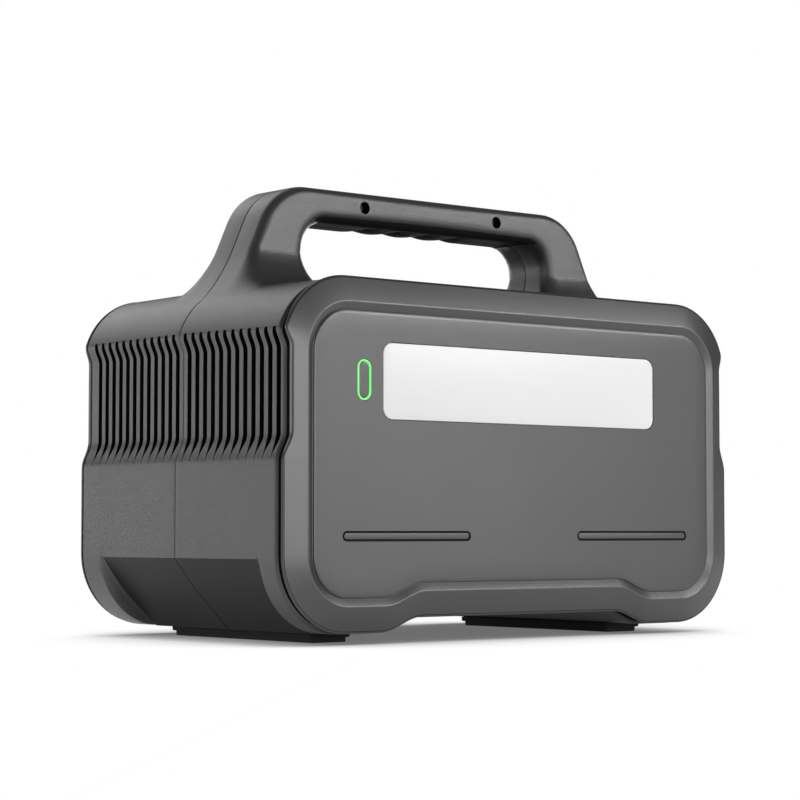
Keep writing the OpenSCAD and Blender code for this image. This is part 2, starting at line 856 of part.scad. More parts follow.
module lamp_button_ring()
  color("limegreen")
    difference() {
      union() {
        slab(-face_y - ring_proud, -inner_face_y + eps) at(-button_x, lamp_z) slot_shape(ring_w, ring_h);
        slab(-inner_face_y, -inner_face_y + ring_flange_t)
          at(-button_x, lamp_z) slot_shape(ring_w + 2 * ring_flange, ring_h + 2 * ring_flange);
      }
      slab(-face_y - 1, -end_y)
        at(-button_x, lamp_z) slot_shape(ring_w - 2 * ring_t, ring_h - 2 * ring_t);
    }

module lamp_button()
  color(cover_colour) {
    slab(-face_y + button_sink, -button_flange_y + eps) at(-button_x, lamp_z) slot_shape(button_w, button_h);
    slab(-button_flange_y, -button_flange_y + key_flange_t)
      at(-button_x, lamp_z) slot_shape(button_w + 2 * key_flange, button_h + 2 * key_flange);
    rod_y(-button_x, lamp_z, stem_d, -button_flange_y + key_flange_t - eps, -plunger_y);
  }

module lamp_switch()
  color(black)
    difference() {
      translate([-button_x, -lamp_board_y - switch_h / 2, lamp_z])
        cube([switch_w, switch_h, switch_w], center = true);
      rod_y(-button_x, lamp_z, plunger_d + 2 * key_fit, -plunger_y,
        -plunger_y + plunger_up + plunger_in + key_travel + key_fit);
    }

module lamp_switch_plunger()
  color("white")
    rod_y(-button_x, lamp_z, plunger_d, -plunger_y, -plunger_y + plunger_up + plunger_in);

// Round lead along straight legs, with a ball at each bend
module lead(points, d) {
  for (i = [0 : len(points) - 2]) {
    step = points[i + 1] - points[i];
    translate(points[i])
      rotate([0, acos(step[2] / norm(step)), atan2(step[1], step[0])]) cylinder(d = d, h = norm(step));
  }
  for (i = [1 : 1 : len(points) - 2]) translate(points[i]) sphere(d = d);
}

module lamp_lead() {
  x = board_right - 8;
  z = lamp_z - lamp_board_h / 2 + 5;
  color("black")
    lead([[x, -lamp_board_y + board_t, z], [x, board_front + 4, z], [x, board_front + 4, board_top]], 3);
}

// Battery

function cell_places() = [
  for (i = [0 : cell_columns - 1], j = [0 : cell_rows - 1])
    [(i - (cell_columns - 1) / 2) * cell_pitch, floor_z + holder_wall + (j + 0.5) * cell_pitch]
];

module battery_cells()
  color("steelblue")
    for (p = cell_places()) {
      rod_y(p[0], p[1], cell_d, -cell_l / 2, cell_l / 2);
    }

module cell_holder()
  difference() {
    slab(-holder_out_y, -holder_in_y)
      at(0, floor_z + pack_h / 2) square([pack_w, pack_h], center = true);
    for (p = cell_places()) {
      rod_y(p[0], p[1], cell_d + 2 * fixed_fit, -cell_l / 2, 0);
      rod_y(p[0], p[1], contact_d, -holder_out_y - 1, 0);
    }
    chassis_screw_holes();
  }

module chassis_screw_holes()
  for (sx = [-1, 1], sy = [-1, 1])
    translate([sx * cell_pitch, sy * (holder_in_y + holder_out_y) / 2, pack_top - holder_thread - 1])
      cylinder(d = small_screw_d + screw_fit, h = holder_thread + plate_t + 2);

module front_cell_holder() color(black) cell_holder();

module rear_cell_holder() color(black) mirror([0, 1, 0]) cell_holder();

// Strap over the cells in columns first to last, with a pad that reaches each cell
module busbar(first, last) {
  low = (first - cell_columns / 2) * cell_pitch + 3;
  high = (last + 1 - cell_columns / 2) * cell_pitch - 3;
  block([low, -holder_out_y - busbar_t, floor_z + holder_wall + 3],
    [high, -holder_out_y, pack_top - holder_wall - 3]);
  for (p = cell_places())
    if (p[0] > low && p[0] < high) rod_y(p[0], p[1], contact_d - 1, -holder_out_y - eps, -cell_l / 2);
}

module cell_busbars()
  color(steel_colour) {
    for (i = [0 : 2 : cell_columns - 2]) busbar(i, i + 1);
    mirror([0, 1, 0]) {
      busbar(0, 0);
      for (i = [1 : 2 : cell_columns - 3]) busbar(i, i + 1);
      busbar(cell_columns - 1, cell_columns - 1);
    }
  }

module battery_monitor_board()
  color(board_colour) {
    block([-bms_x - board_t, -holder_out_y, bms_z], [-bms_x, holder_out_y, bms_z + bms_h]);
    for (i = [-2 : 2])
      translate([-bms_x - board_t - bms_chip[0] + eps, i * bms_chip_pitch, bms_z + bms_chip_in])
        cube(bms_chip);
    for (s = [-1, 1])
      translate([
        -bms_x - board_t - terminal[0] + eps, lead_y + s * lead_gap / 2 - terminal[1] / 2, terminal_z
      ]) cube(terminal);
  }

// Two leads that rise from the monitor board past the plate to the inverter board
module battery_leads() {
  z0 = terminal_z + terminal[2];
  rise = board_top + terminal[2];
  x1 = -notch_x + lead_in;
  for (s = [-1, 1]) color(s < 0 ? "black" : "red") {
    y = lead_y + s * lead_gap / 2;
    lead([[lead_x, y, z0], [lead_x, y, rise], [x1, y, rise], [x1, y, board_top]], lead_d);
  }
}

// Chassis and inverter

module fan_holes(d)
  for (sy = [-1, 1], sz = [-1, 1])
    rod_x(sy * fan_hole, fan_z + sz * fan_hole, d, fan_in_x - plate_t - 1, fan_in_x + fan_t + 1);

module chassis_plate()
  color("lightsteelblue")
    difference() {
      union() {
        block([-chassis_x, -chassis_y, pack_top], [chassis_x, chassis_y, plate_top]);
        both_sides()
          block([chassis_x - plate_t, -fan_wall_w / 2, pack_top], [chassis_x, fan_wall_w / 2, fan_wall_top]);
      }
      both_sides() {
        rod_x(0, fan_z, fan_bore, 0, chassis_x + 1);
        fan_holes(screw_d + screw_fit);
      }
      chassis_screw_holes();
      for (s = [-1, 1])
        translate([lead_x, lead_y + s * lead_gap / 2, pack_top - 1])
          cylinder(d = lead_d + 2, h = plate_t + 2);
    }

module chassis_screws()
  color(steel_colour)
    for (sx = [-1, 1], sy = [-1, 1])
      translate([sx * cell_pitch, sy * (holder_in_y + holder_out_y) / 2, plate_top])
        screw(small_screw_d, small_head_d, small_head_h, plate_t + holder_thread);

function standoff_places() = [
  for (sx = [-1, 1], y = [board_front + standoff_in, board_back - standoff_in])
    [sx * (board_x - standoff_in), y]
];

module inverter_board()
  color(board_colour)
    difference() {
      block([-board_x, board_front, board_z], [board_x, board_back, board_top]);
      block([-board_x - 1, lead_y - notch_l / 2, board_z - 1],
        [-notch_x, lead_y + notch_l / 2, board_top + 1]);
      for (p = standoff_places())
        translate([p[0], p[1], board_z - 1]) cylinder(d = small_screw_d + screw_fit, h = board_t + 2);
    }

module board_standoffs()
  color("gold")
    for (p = standoff_places())
      translate([p[0], p[1], plate_top])
        difference() {
          cylinder(d = standoff_d, h = standoff_h);
          translate([0, 0, 1]) cylinder(d = small_screw_d + screw_fit, h = standoff_h);
        }

module board_screws()
  color(steel_colour)
    for (p = standoff_places())
      translate([p[0], p[1], board_top])
        screw(small_screw_d, small_head_d, small_head_h, board_t + standoff_h - 2);

module heat_sinks()
  color("gainsboro")
    both_sides()
      translate([sink_x, sink_y, board_top]) {
        translate([-sink_w / 2, -sink_l / 2, 0]) cube([sink_w, sink_l, sink_base]);
        for (i = [0 : sink_fins - 1])
          translate([-sink_w / 2, -sink_l / 2 + i * (sink_l - fin_t) / (sink_fins - 1), sink_base - eps])
            cube([sink_w, fin_t, sink_h - sink_base]);
      }

module power_transistors()
  color(black)
    both_sides()
      for (i = [0 : 2])
        translate([sink_x + (i - 1) * transistor_pitch - transistor[0] / 2, sink_y + sink_l / 2, board_top])
          cube(transistor);

module transformer_core()
  color("darkslategray")
    translate([0, sink_y, board_top + transformer[2] / 2])
      difference() {
        cube(transformer, center = true);
        for (s = [-1, 1])
          translate([s * transformer[0] / 4, 0, 0])
            cube([transformer[0] / 4, transformer[1] + 1, core_window], center = true);
      }

module transformer_winding()
  color("peru")
    translate([0, sink_y, board_top + transformer[2] / 2])
      difference() {
        cube([transformer[0] * 3 / 4 - coil_gap, transformer[1] + coil_over, core_window - coil_gap],
          center = true);
        cube([transformer[0] / 4 + coil_gap, transformer[1] + coil_gap, transformer[2]], center = true);
      }

module filter_capacitors()
  color("midnightblue")
    for (x = cap_x) translate([x, cap_y, board_top]) cylinder(d = cap_d, h = cap_h);

module filter_chokes()
  color("orangered")
    both_sides()
      translate([choke_x, choke_y, board_top + choke_h / 2])
        rotate_extrude() translate([choke_d / 3, 0]) square([choke_d / 3, choke_h], center = true);

// Fans

module fan_frame()
  difference() {
    union() {
      difference() {
        beam(fan_in_x, fan_in_x + fan_t) at(0, fan_z) rounded_rect(fan_w, fan_w, 4);
        rod_x(0, fan_z, fan_bore, fan_in_x - 1, fan_in_x + fan_t + 1);
      }
      rod_x(0, fan_z, hub_d, fan_in_x, fan_in_x + spoke_t);
      for (a = [45, 135])
        translate([fan_in_x, 0, fan_z]) rotate([a, 0, 0])
          translate([0, -fan_w / 2, -2]) cube([spoke_t, fan_w, 4]);
      rod_x(0, fan_z, shaft_d, fan_in_x, fan_in_x + fan_t - 2);
    }
    fan_holes(screw_d + 2 * screw_fit);
  }

// Hub cup on the shaft with slanted blades
module fan_rotor()
  difference() {
    union() {
      rod_x(0, fan_z, hub_d, rotor_in_x, rotor_in_x + rotor_t);
      intersection() {
        rod_x(0, fan_z, fan_bore - 2 * tip_gap, rotor_in_x, rotor_in_x + rotor_t);
        translate([rotor_in_x + rotor_t / 2, 0, fan_z])
          for (i = [0 : blade_count - 1])
            rotate([i * 360 / blade_count, 0, 0])
              translate([0, 0, hub_d / 2 - hub_root]) rotate([0, 0, blade_pitch])
                translate([-fan_t, -blade_t / 2, 0]) cube([2 * fan_t, blade_t, fan_bore / 2]);
      }
    }
    rod_x(0, fan_z, shaft_d + 2 * shaft_fit, rotor_in_x - 1, fan_in_x + fan_t - 2 + rotor_gap);
  }

module right_fan_frame() color(black) fan_frame();

module right_fan_rotor() color([0.15, 0.15, 0.16]) fan_rotor();

module left_fan_frame() color(black) mirror([1, 0, 0]) fan_frame();

module left_fan_rotor() color([0.15, 0.15, 0.16]) mirror([1, 0, 0]) fan_rotor();

module fan_screws()
  color(steel_colour)
    both_sides()
      for (sy = [-1, 1], sz = [-1, 1])
        translate([fan_in_x + fan_t, sy * fan_hole, fan_z + sz * fan_hole]) rotate([0, 90, 0])
          screw(screw_d, screw_head_d, screw_head_h, fan_t + plate_t);

// Outlets

function board_posts() = [
  for (x = [outlet_board[0] + board_post_in, outlet_board[1] - board_post_in],
       z = [outlet_board[2] + board_post_in, outlet_board[3] - board_post_in]) [x, z]
];

module outlet_board()
  color(board_colour)
    difference() {
      block([outlet_board[0], outlet_board_y, outlet_board[2]],
        [outlet_board[1], outlet_board_y + board_t, outlet_board[3]]);
      for (p = board_posts())
        rod_y(p[0], p[1], small_screw_d + screw_fit, outlet_board_y - 1, outlet_board_y + board_t + 1);
    }

module outlet_board_screws()
  color(steel_colour)
    for (p = board_posts())
      translate([p[0], outlet_board_y, p[1]]) rotate([90, 0, 0])
        screw(small_screw_d, small_head_d, small_head_h, board_thread);

outlet_plunger_y = outlet_board_y + board_t + switch_h - plunger_in;

module outlet_switches()
  color(black)
    for (x = key_x)
      difference() {
        translate([x, outlet_board_y + board_t + switch_h / 2, key_z])
          cube([switch_w, switch_h, switch_w], center = true);
        rod_y(x, key_z, plunger_d + 2 * key_fit, outlet_plunger_y - key_travel - key_fit,
          outlet_board_y + port_depth);
      }

module outlet_key(x)
  color(cover_colour) {
    slab(inner_face_y - key_fit - eps, face_y) at(x, key_z) bar_shape(key_w, key_h);
    slab(inner_face_y - key_fit - key_flange_t, inner_face_y - key_fit)
      at(x, key_z) bar_shape(key_w + 2 * key_flange, key_h + 2 * key_flange);
    rod_y(x, key_z, plunger_d, outlet_plunger_y, inner_face_y - key_fit);
  }

module dc_key() outlet_key(key_x[0]);

module usb_key() outlet_key(key_x[1]);

module ac_key() outlet_key(key_x[2]);

// Mains socket with two blade slots and an earth hole
module ac_socket(x)
  difference() {
    union() {
      slab(face_y - socket_d, face_y) at(x, outlet_z) rounded_rect(socket_w, socket_w, socket_r);
      slab(inner_face_y - outlet_lip_t, inner_face_y)
        at(x, outlet_z) rounded_rect(socket_w + 2 * outlet_lip, socket_w + 2 * outlet_lip, socket_r);
    }
    slab(face_y - socket_d + 4, face_y + 1) {
      for (s = [-1, 1])
        at(x + s * slot_gap / 2, outlet_z + slot_rise) square([slot_w, slot_h], center = true);
      at(x, outlet_z + slot_rise - earth_drop) circle(d = earth_d);
    }
  }

module ac_sockets()
  color(black) for (i = [0, 1]) ac_socket(socket_x + i * socket_pitch);

// Round socket with a bore for an accessory plug and a contact at its bottom
module car_socket()
  color(black)
    difference() {
      union() {
        rod_y(car_x, outlet_z, car_bore + 2 * car_wall, face_y - car_depth - 6, face_y);
        rod_y(car_x, outlet_z, car_bore + 2 * (car_wall + car_flange), inner_face_y - outlet_lip_t,
          inner_face_y);
      }
      rod_y(car_x, outlet_z, car_bore, face_y - car_depth, face_y + 1);
      rod_y(car_x, outlet_z, car_contact_d, face_y - car_depth - 2, face_y);
    }

// Round jack with a centre pin, from the board to the cover
module jack(z, bore, pin)
  difference() {
    union() {
      rod_y(dc_x, z, dc_d, outlet_board_y + board_t, face_y);
      rod_y(dc_x, z, dc_d + 2 * outlet_lip, inner_face_y - outlet_lip_t, inner_face_y);
    }
    difference() {
      rod_y(dc_x, z, bore, face_y - dc_depth, face_y + 1);
      rod_y(dc_x, z, pin, face_y - dc_depth - 1, face_y - 1);
    }
  }

module dc_ports() color(black) for (z = dc_z) jack(z, dc_bore, dc_pin);

module dc_input() color(black) jack(input_z, input_bore, input_pin);

module usb_a_ports()
  color(black)
    for (x = usb_a_x)
      difference() {
        slab(outlet_board_y + board_t, face_y) at(x, port_z) square(usb_a, center = true);
        difference() {
          slab(face_y - usb_depth, face_y + 1) at(x, port_z) square(usb_a_mouth, center = true);
          slab(face_y - usb_depth - 1, face_y - 1)
            at(x, port_z + usb_a_mouth[1] / 2 - tongue_t)
              square([usb_a_mouth[0] - 1, tongue_t], center = true);
        }
      }

module usb_c_ports()
  color(black)
    for (x = usb_c_x)
      difference() {
        slab(outlet_board_y + board_t, face_y) at(x, port_z) bar_shape(usb_c[0], usb_c[1]);
        difference() {
          slab(face_y - usb_depth, face_y + 1) at(x, port_z) bar_shape(usb_c_mouth[0], usb_c_mouth[1]);
          slab(face_y - usb_depth - 1, face_y - 1)
            at(x, port_z) square([usb_c_mouth[0] - 2, usb_c_mouth[1] / 4], center = true);
        }
      }

module display_window()
  color([0.1, 0.11, 0.13]) {
    slab(inner_face_y - eps, face_y) at(display_x, display_z) rounded_rect(display_w, display_h, display_r);
    slab(inner_face_y - outlet_lip_t, inner_face_y)
      at(display_x, display_z)
        rounded_rect(display_w + 2 * outlet_lip, display_h + 2 * outlet_lip, display_r);
  }

module display_module()
  color("darkslategray")
    slab(inner_face_y - outlet_lip_t - display_t, inner_face_y - outlet_lip_t)
      at(display_x, display_z)
        square([display_w + 2 * outlet_lip, display_h + 2 * outlet_lip], center = true);

front_shell();
rear_shell();
front_cover();
rear_cover();
trim_strips();
left_foot();
right_foot();
foot_screws();
handle_screws();
case_screws();
lamp_lens();
lamp_reflector();
lamp_board();
lamp_leds();
lamp_button_ring();
lamp_button();
lamp_switch();
lamp_switch_plunger();
lamp_lead();
battery_cells();
front_cell_holder();
rear_cell_holder();
cell_busbars();
battery_monitor_board();
battery_leads();
chassis_plate();
chassis_screws();
inverter_board();
board_standoffs();
board_screws();
heat_sinks();
power_transistors();
transformer_core();
transformer_winding();
filter_capacitors();
filter_chokes();
left_fan_frame();
left_fan_rotor();
right_fan_frame();
right_fan_rotor();
fan_screws();
outlet_board();
outlet_board_screws();
outlet_switches();
ac_sockets();
car_socket();
dc_ports();
dc_input();
usb_a_ports();
usb_c_ports();
display_window();
display_module();
ac_key();
usb_key();
dc_key();
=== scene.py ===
import json
import math
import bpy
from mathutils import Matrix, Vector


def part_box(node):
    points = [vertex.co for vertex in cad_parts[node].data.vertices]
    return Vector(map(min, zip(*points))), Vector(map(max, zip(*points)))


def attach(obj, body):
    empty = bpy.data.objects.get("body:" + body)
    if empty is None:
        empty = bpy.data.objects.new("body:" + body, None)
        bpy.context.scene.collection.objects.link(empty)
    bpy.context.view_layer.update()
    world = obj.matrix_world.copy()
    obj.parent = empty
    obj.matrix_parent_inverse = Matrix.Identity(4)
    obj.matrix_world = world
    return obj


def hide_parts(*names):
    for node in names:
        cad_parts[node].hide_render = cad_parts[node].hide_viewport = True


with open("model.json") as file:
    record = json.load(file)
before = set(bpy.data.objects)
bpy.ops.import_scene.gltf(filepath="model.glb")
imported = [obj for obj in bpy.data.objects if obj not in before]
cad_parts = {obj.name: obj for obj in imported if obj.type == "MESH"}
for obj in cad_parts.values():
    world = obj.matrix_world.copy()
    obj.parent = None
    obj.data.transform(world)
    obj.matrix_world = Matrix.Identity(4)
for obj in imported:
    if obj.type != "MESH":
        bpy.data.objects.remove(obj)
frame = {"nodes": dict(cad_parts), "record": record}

from types import SimpleNamespace

import bmesh
import bpy
from bpy.props import FloatProperty, FloatVectorProperty, IntProperty, PointerProperty
from mathutils import Matrix, Vector

bl_info = {
    "name": "Power Station Looks",
    "version": (1, 0, 0),
    "blender": (4, 5, 0),
    "location": "View3D > Sidebar > Power Station",
    "description": "Moulded case, covers, lamp, outlets and studio of a portable power station",
    "category": "Object",
}

MM = 0.001
QUARTER = math.pi / 2
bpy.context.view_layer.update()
FINISHES = {}


# Sizes and colours

def mm(name, description, default):
    return FloatProperty(name=name, description=description, default=default * MM, precision=5,
                         unit="LENGTH")


def colour(name, description, default):
    return FloatVectorProperty(name=name, description=description, default=default, size=3,
                               min=0.0, max=1.0, subtype="COLOR")


class CaseSizes(bpy.types.PropertyGroup):
    half_width: mm("Half width", "Middle of the case to a side wall, at the seam", 151.6)
    low: mm("Underside", "Height of the underside above the floor", 5.0)
    top: mm("Top", "Height of the top above the floor", 177.0)
    corner: mm("Corner radius", "Outer radius of the four long corners", 38.0)
    end: mm("Shell end", "Seam to the end of a half shell", 86.2)
    draft: mm("Draft", "How much narrower a shell is at its end than at the seam", 1.7)
    wall: mm("Wall", "Thickness of the shell wall", 2.8)
    channel_in: mm("Channel flat", "Middle to the start of the channel's slope", 66.0)
    channel_out: mm("Channel edge", "Middle to the end of the channel's slope", 91.0)
    channel_rise: mm("Channel rise", "Height of the channel in the underside", 7.0)
    waist_depth: mm("Waist depth", "How far the waist is drawn in", 4.8)
    waist_low: mm("Waist start", "Height where the waist starts", 86.8)
    waist_low_run: mm("Waist lower slope", "Height of the lower slope", 14.2)
    waist_high: mm("Waist end", "Height where the waist ends", 152.0)
    waist_high_run: mm("Waist upper slope", "Height of the upper slope", 11.0)
    hold_half: mm("Hand hold", "Seam to the end of a hand hold", 67.1)
    hold_edge: mm("Hold edge", "Upper edge of a hand hold below the end of the corner", 2.0)
    hold_crease: mm("Hold crease", "Side wall to the crease of a hand hold", 11.3)
    hold_rise: mm("Hold crease height", "Underside to the crease of a hand hold", 22.0)
    hold_foot: mm("Hold foot", "Side wall to the lower edge of a hand hold", 33.0)
    seam: mm("Seam groove", "Half the width of the groove between the shells", 0.45)
    lamp_bevel: mm("Lamp end bevel", "Start of the bevel before the lamp-side end", 6.0)
    outlet_bevel: mm("Outlet end bevel", "Start of the bevel before the outlet-side end", 1.0)
    bevel: mm("Bevel", "How far the bevel of the lamp-side shell draws in", 3.0)
    outlet_turn: mm("Outlet bevel", "How far the bevel of the outlet-side shell draws in", 0.7)
    outlet_draft: mm("Outlet draft", "How much narrower the outlet-side shell is at its end", 0.6)


class VentSizes(bpy.types.PropertyGroup):
    count: IntProperty(name="Slots", description="Vent slots in each side of a shell", default=12,
                       min=1)
    first: mm("First slot", "Seam to the middle of the first slot", 5.1)
    pitch: mm("Pitch", "Distance between slots", 6.53)
    width: mm("Slot width", "Width of a slot", 3.4)
    low: mm("Slot foot", "Height where the slots start", 88.4)
    high: mm("Slot head", "Height where the slots end", 151.9)
    filter: mm("Filter", "Thickness of the dust filters", 1.5)
    filter_gap: mm("Filter place", "Fan frame to the dust filter", 3.0)
    filter_width: mm("Filter width", "Width of a dust filter", 158.0)


class HandleSizes(bpy.types.PropertyGroup):
    top: mm("Top", "Height of the grip's top above the floor", 230.0)
    depth: mm("Half depth", "Seam to the front of the grip", 18.25)
    rounding: mm("Rounding", "Radius along the outer edges of the grip", 5.0)
    low_rounding: mm("Inner rounding", "Radius along the grip's edges at the hand opening", 7.6)
    hand_half: mm("Opening", "Middle to the end of the hand opening", 84.25)
    hand_top: mm("Opening top", "Height of the opening's upper edge", 213.0)
    hand_radius: mm("Opening radius", "Radius of the opening's ends", 16.0)
    bend: mm("Bend radius", "Outer radius of the handle's bends", 30.0)
    bend_x: mm("Bend centre", "Middle to the centre of a bend", 82.8)
    lean: FloatProperty(name="Lean", description="Lean of the legs from upright",
                        default=math.radians(24.2), subtype="ANGLE")
    sill: mm("Sill", "Height of the sill under the hand opening", 4.0)
    crease: mm("Crease", "Height where the feet of the legs start to flare", 195.5)
    kick: FloatProperty(name="Kick", description="How sharply a leg's front turns at the crease",
                        default=0.28)
    flare: mm("Front flare", "Reach of the flare in front of a leg", 18.0)
    flare_out: mm("Outer flare", "Reach of the flare outside a leg", 14.0)
    flare_in: mm("Inner flare", "Reach of the flare inside a leg", 15.5)
    bumps: IntProperty(name="Finger bumps", description="Bumps under the grip, an odd number",
                       default=5, min=1)
    bump_pitch: mm("Bump pitch", "Distance between finger bumps", 20.0)
    bump_radius: mm("Bump radius", "Radius of a finger bump", 42.0)
    screw_x: mm("Screw place", "Middle to a handle screw", 46.0)
    screw_z: mm("Screw height", "Height of the handle screws", 222.0)
    screw_hole: mm("Screw hole", "Radius of a screw hole", 3.25)
    screw_deep: mm("Screw hole length", "Length of the drill, half of it in the handle", 14.0)


class CoverSizes(bpy.types.PropertyGroup):
    inset: mm("Inset", "Side wall to the edge of a cover", 0.5)
    back: mm("Back", "Seam to the back of a cover", 86.4)
    edge: mm("Edge", "Seam to the front of a cover's edge", 87.7)
    ridge_in: mm("Ridge", "Side wall to the ridge of the rim", 13.3)
    ridge: mm("Ridge height", "Seam to the top of the ridge", 91.05)
    groove_in: mm("Groove", "Side wall to the inner edge of the groove", 17.0)
    groove: mm("Groove floor", "Seam to the floor of the groove", 89.15)
    face_in: mm("Lamp face", "Side wall to the flat face of the lamp cover", 28.5)
    outlet_face_in: mm("Outlet face", "Side wall to the flat face of the outlet cover", 20.5)
    face: mm("Face height", "Seam to the flat face", 90.4)
    wall: mm("Wall", "Thickness of a cover", 1.6)
    strip_length: mm("Strip", "Length of a trim strip's seat", 80.7)
    strip_height: mm("Strip height", "Height of a trim strip's seat", 4.8)
    strip_gap: mm("Strip gap", "Gap between a strip and its seat", 0.9)
    strip_x: mm("Strip place", "Middle to the middle of a strip", 76.95)
    strip_z: mm("Strip level", "Height of the strips above the floor", 51.8)


class LampSizes(bpy.types.PropertyGroup):
    width: mm("Width", "Width of the lamp window", 185.0)
    height: mm("Height", "Height of the lamp window", 37.0)
    level: mm("Level", "Height of the lamp above the floor", 126.6)
    radius: mm("Corner", "Corner radius of the lamp window", 5.4)
    button_x: mm("Button place", "Middle to the button", 104.2)
    ring_width: mm("Ring width", "Width of the light ring", 8.1)
    ring_height: mm("Ring height", "Height of the light ring", 19.5)
    band: mm("Band", "Width of the ring's band", 0.7)
    lens_fit: mm("Lens fit", "Gap between the lens and its opening", 0.25)
    ring_fit: mm("Ring fit", "Gap between the light ring and its opening", 0.2)
    button_fit: mm("Button fit", "Gap between the button and the light ring", 0.3)


class OutletSizes(bpy.types.PropertyGroup):
    level: mm("Level", "Height of the sockets above the floor", 121.0)
    mains_x: mm("Mains place", "Middle to the first mains socket", 66.02)
    mains_pitch: mm("Mains pitch", "Distance between the mains sockets", 42.0)
    mains: mm("Mains width", "Width and height of a mains socket", 34.0)
    mains_corner: mm("Mains corner", "Corner radius of a mains socket", 3.0)
    blade_x: mm("Blade place", "Middle of a mains socket to a blade slot", 6.35)
    blade_up: mm("Blade level", "Blade slots above the middle of a mains socket", 4.0)
    blade_width: mm("Blade width", "Width of a blade slot", 2.2)
    blade_height: mm("Blade height", "Height of a blade slot", 7.5)
    earth_down: mm("Earth level", "Earth hole below the middle of a mains socket", 7.0)
    earth: mm("Earth", "Width of an earth hole", 5.4)
    round_x: mm("Round socket place", "Middle to the round socket", -108.0)
    round_width: mm("Round socket", "Outer width of the round socket", 27.0)
    round_bore: mm("Round socket bore", "Width of the round socket's bore", 21.0)
    jack_x: mm("Jack place", "Middle to the jacks", -67.99)
    jack_high: mm("Jack level", "Height of the highest jack above the floor", 135.0)
    jack_pitch: mm("Jack pitch", "Distance between the jacks", 18.0)
    jack: mm("Jack", "Outer width of a jack", 12.0)
    jack_bore: mm("Jack bore", "Width of a jack's bore", 5.7)
    jack_pin: mm("Jack pin", "Width of a jack's pin", 2.1)
    inlet_bore: mm("Inlet bore", "Width of the charging inlet's bore", 8.0)
    inlet_pin: mm("Inlet pin", "Width of the charging inlet's pin", 1.3)
    port_level: mm("Port level", "Height of the ports above the floor", 98.0)
    wide_x: mm("Wide port place", "Middle to the first wide port", -38.0)
    wide_pitch: mm("Wide port pitch", "Distance between the wide ports", 22.0)
    wide_width: mm("Wide port", "Width of a wide port", 14.5)
    wide_height: mm("Wide port height", "Height of a wide port", 7.0)
    slim_x: mm("Slim port place", "Middle to the first slim port", 6.0)
    slim_pitch: mm("Slim port pitch", "Distance between the slim ports", 20.0)
    slim_width: mm("Slim port", "Width of a slim port", 10.6)
    slim_height: mm("Slim port height", "Height of a slim port", 5.0)
    display_x: mm("Display place", "Middle to the middle of the display", -5.0)
    display_level: mm("Display level", "Height of the display above the floor", 133.0)
    display_width: mm("Display width", "Width of the display window", 70.0)
    display_height: mm("Display height", "Height of the display window", 28.0)
    key_x: mm("Key place", "Middle to the first key", -38.0)
    key_pitch: mm("Key pitch", "Distance between the keys", 33.0)
    key_level: mm("Key level", "Height of the keys above the floor", 110.0)
    key_width: mm("Key width", "Width of a key", 14.0)
    key_height: mm("Key height", "Height of a key", 6.5)
    fit: mm("Fit", "Gap between an outlet and its opening", 0.2)
    key_fit: mm("Key fit", "Gap between a key and its opening", 0.3)


class FinishColours(bpy.types.PropertyGroup):
    shell: colour("Shell", "Moulded plastic of the shells and the handle", (0.026, 0.026, 0.0265))
    cover: colour("Cover", "Moulded plastic of the covers", (0.025, 0.025, 0.0255))
    rubber: colour("Rubber", "Feet", (0.012, 0.012, 0.012))
    # This colour is the dark foam of the dust filters, and also painted shade: near-black on the
    # shells' inner walls, the vent slot walls, the gap at the shell ends and the screw holes
    liner: colour("Liner", "Inside of the case behind the vents", (0.004, 0.004, 0.004))
    lens: colour("Lens", "Milky lamp lens", (0.9, 0.9, 0.9))
    ring: colour("Ring", "Light ring round the lamp button", (0.2, 0.96, 0.22))
    socket: colour("Socket", "Moulded outlets", (0.022, 0.022, 0.023))
    glass: colour("Glass", "Window over the display", (0.01, 0.011, 0.013))
    terminal: colour("Terminal", "Contacts in the outlets", (0.62, 0.61, 0.58))


GROUPS = {"case": CaseSizes, "vents": VentSizes, "handle": HandleSizes, "cover": CoverSizes,
          "lamp": LampSizes, "outlets": OutletSizes, "finish": FinishColours}


def group_name(key):
    return "power_station_" + key


def group_values(context, key):
    """One group of the scene and the properties that are its own."""
    group = getattr(context.scene, group_name(key))
    own = [p for p in group.bl_rna.properties if p.identifier not in ("rna_type", "name")]
    return group, own


def sizes(context, key):
    """The lengths of one group in millimetres, its other values as they are."""
    group, own = group_values(context, key)
    found = SimpleNamespace()
    for prop in own:
        value = getattr(group, prop.identifier)
        setattr(found, prop.identifier, value / MM if prop.unit == "LENGTH" else value)
    return found


# Materials

class Value:
    """A node's output that adds Math nodes when it is used in an expression."""

    def __init__(self, finish, socket):
        self.finish = finish
        self.socket = socket

    def maths(self, operation, first, second):
        return self.finish.node("Math", {0: first, 1: second}, operation=operation)

    def __add__(self, other):
        return self.maths("ADD", self, other)

    def __radd__(self, other):
        return self.maths("ADD", other, self)

    def __sub__(self, other):
        return self.maths("SUBTRACT", self, other)

    def __rsub__(self, other):
        return self.maths("SUBTRACT", other, self)

    def __mul__(self, other):
        return self.maths("MULTIPLY", self, other)

    def __rmul__(self, other):
        return self.maths("MULTIPLY", other, self)

    def __pow__(self, other):
        return self.maths("POWER", self, other)

    def __rpow__(self, other):
        return self.maths("POWER", other, self)


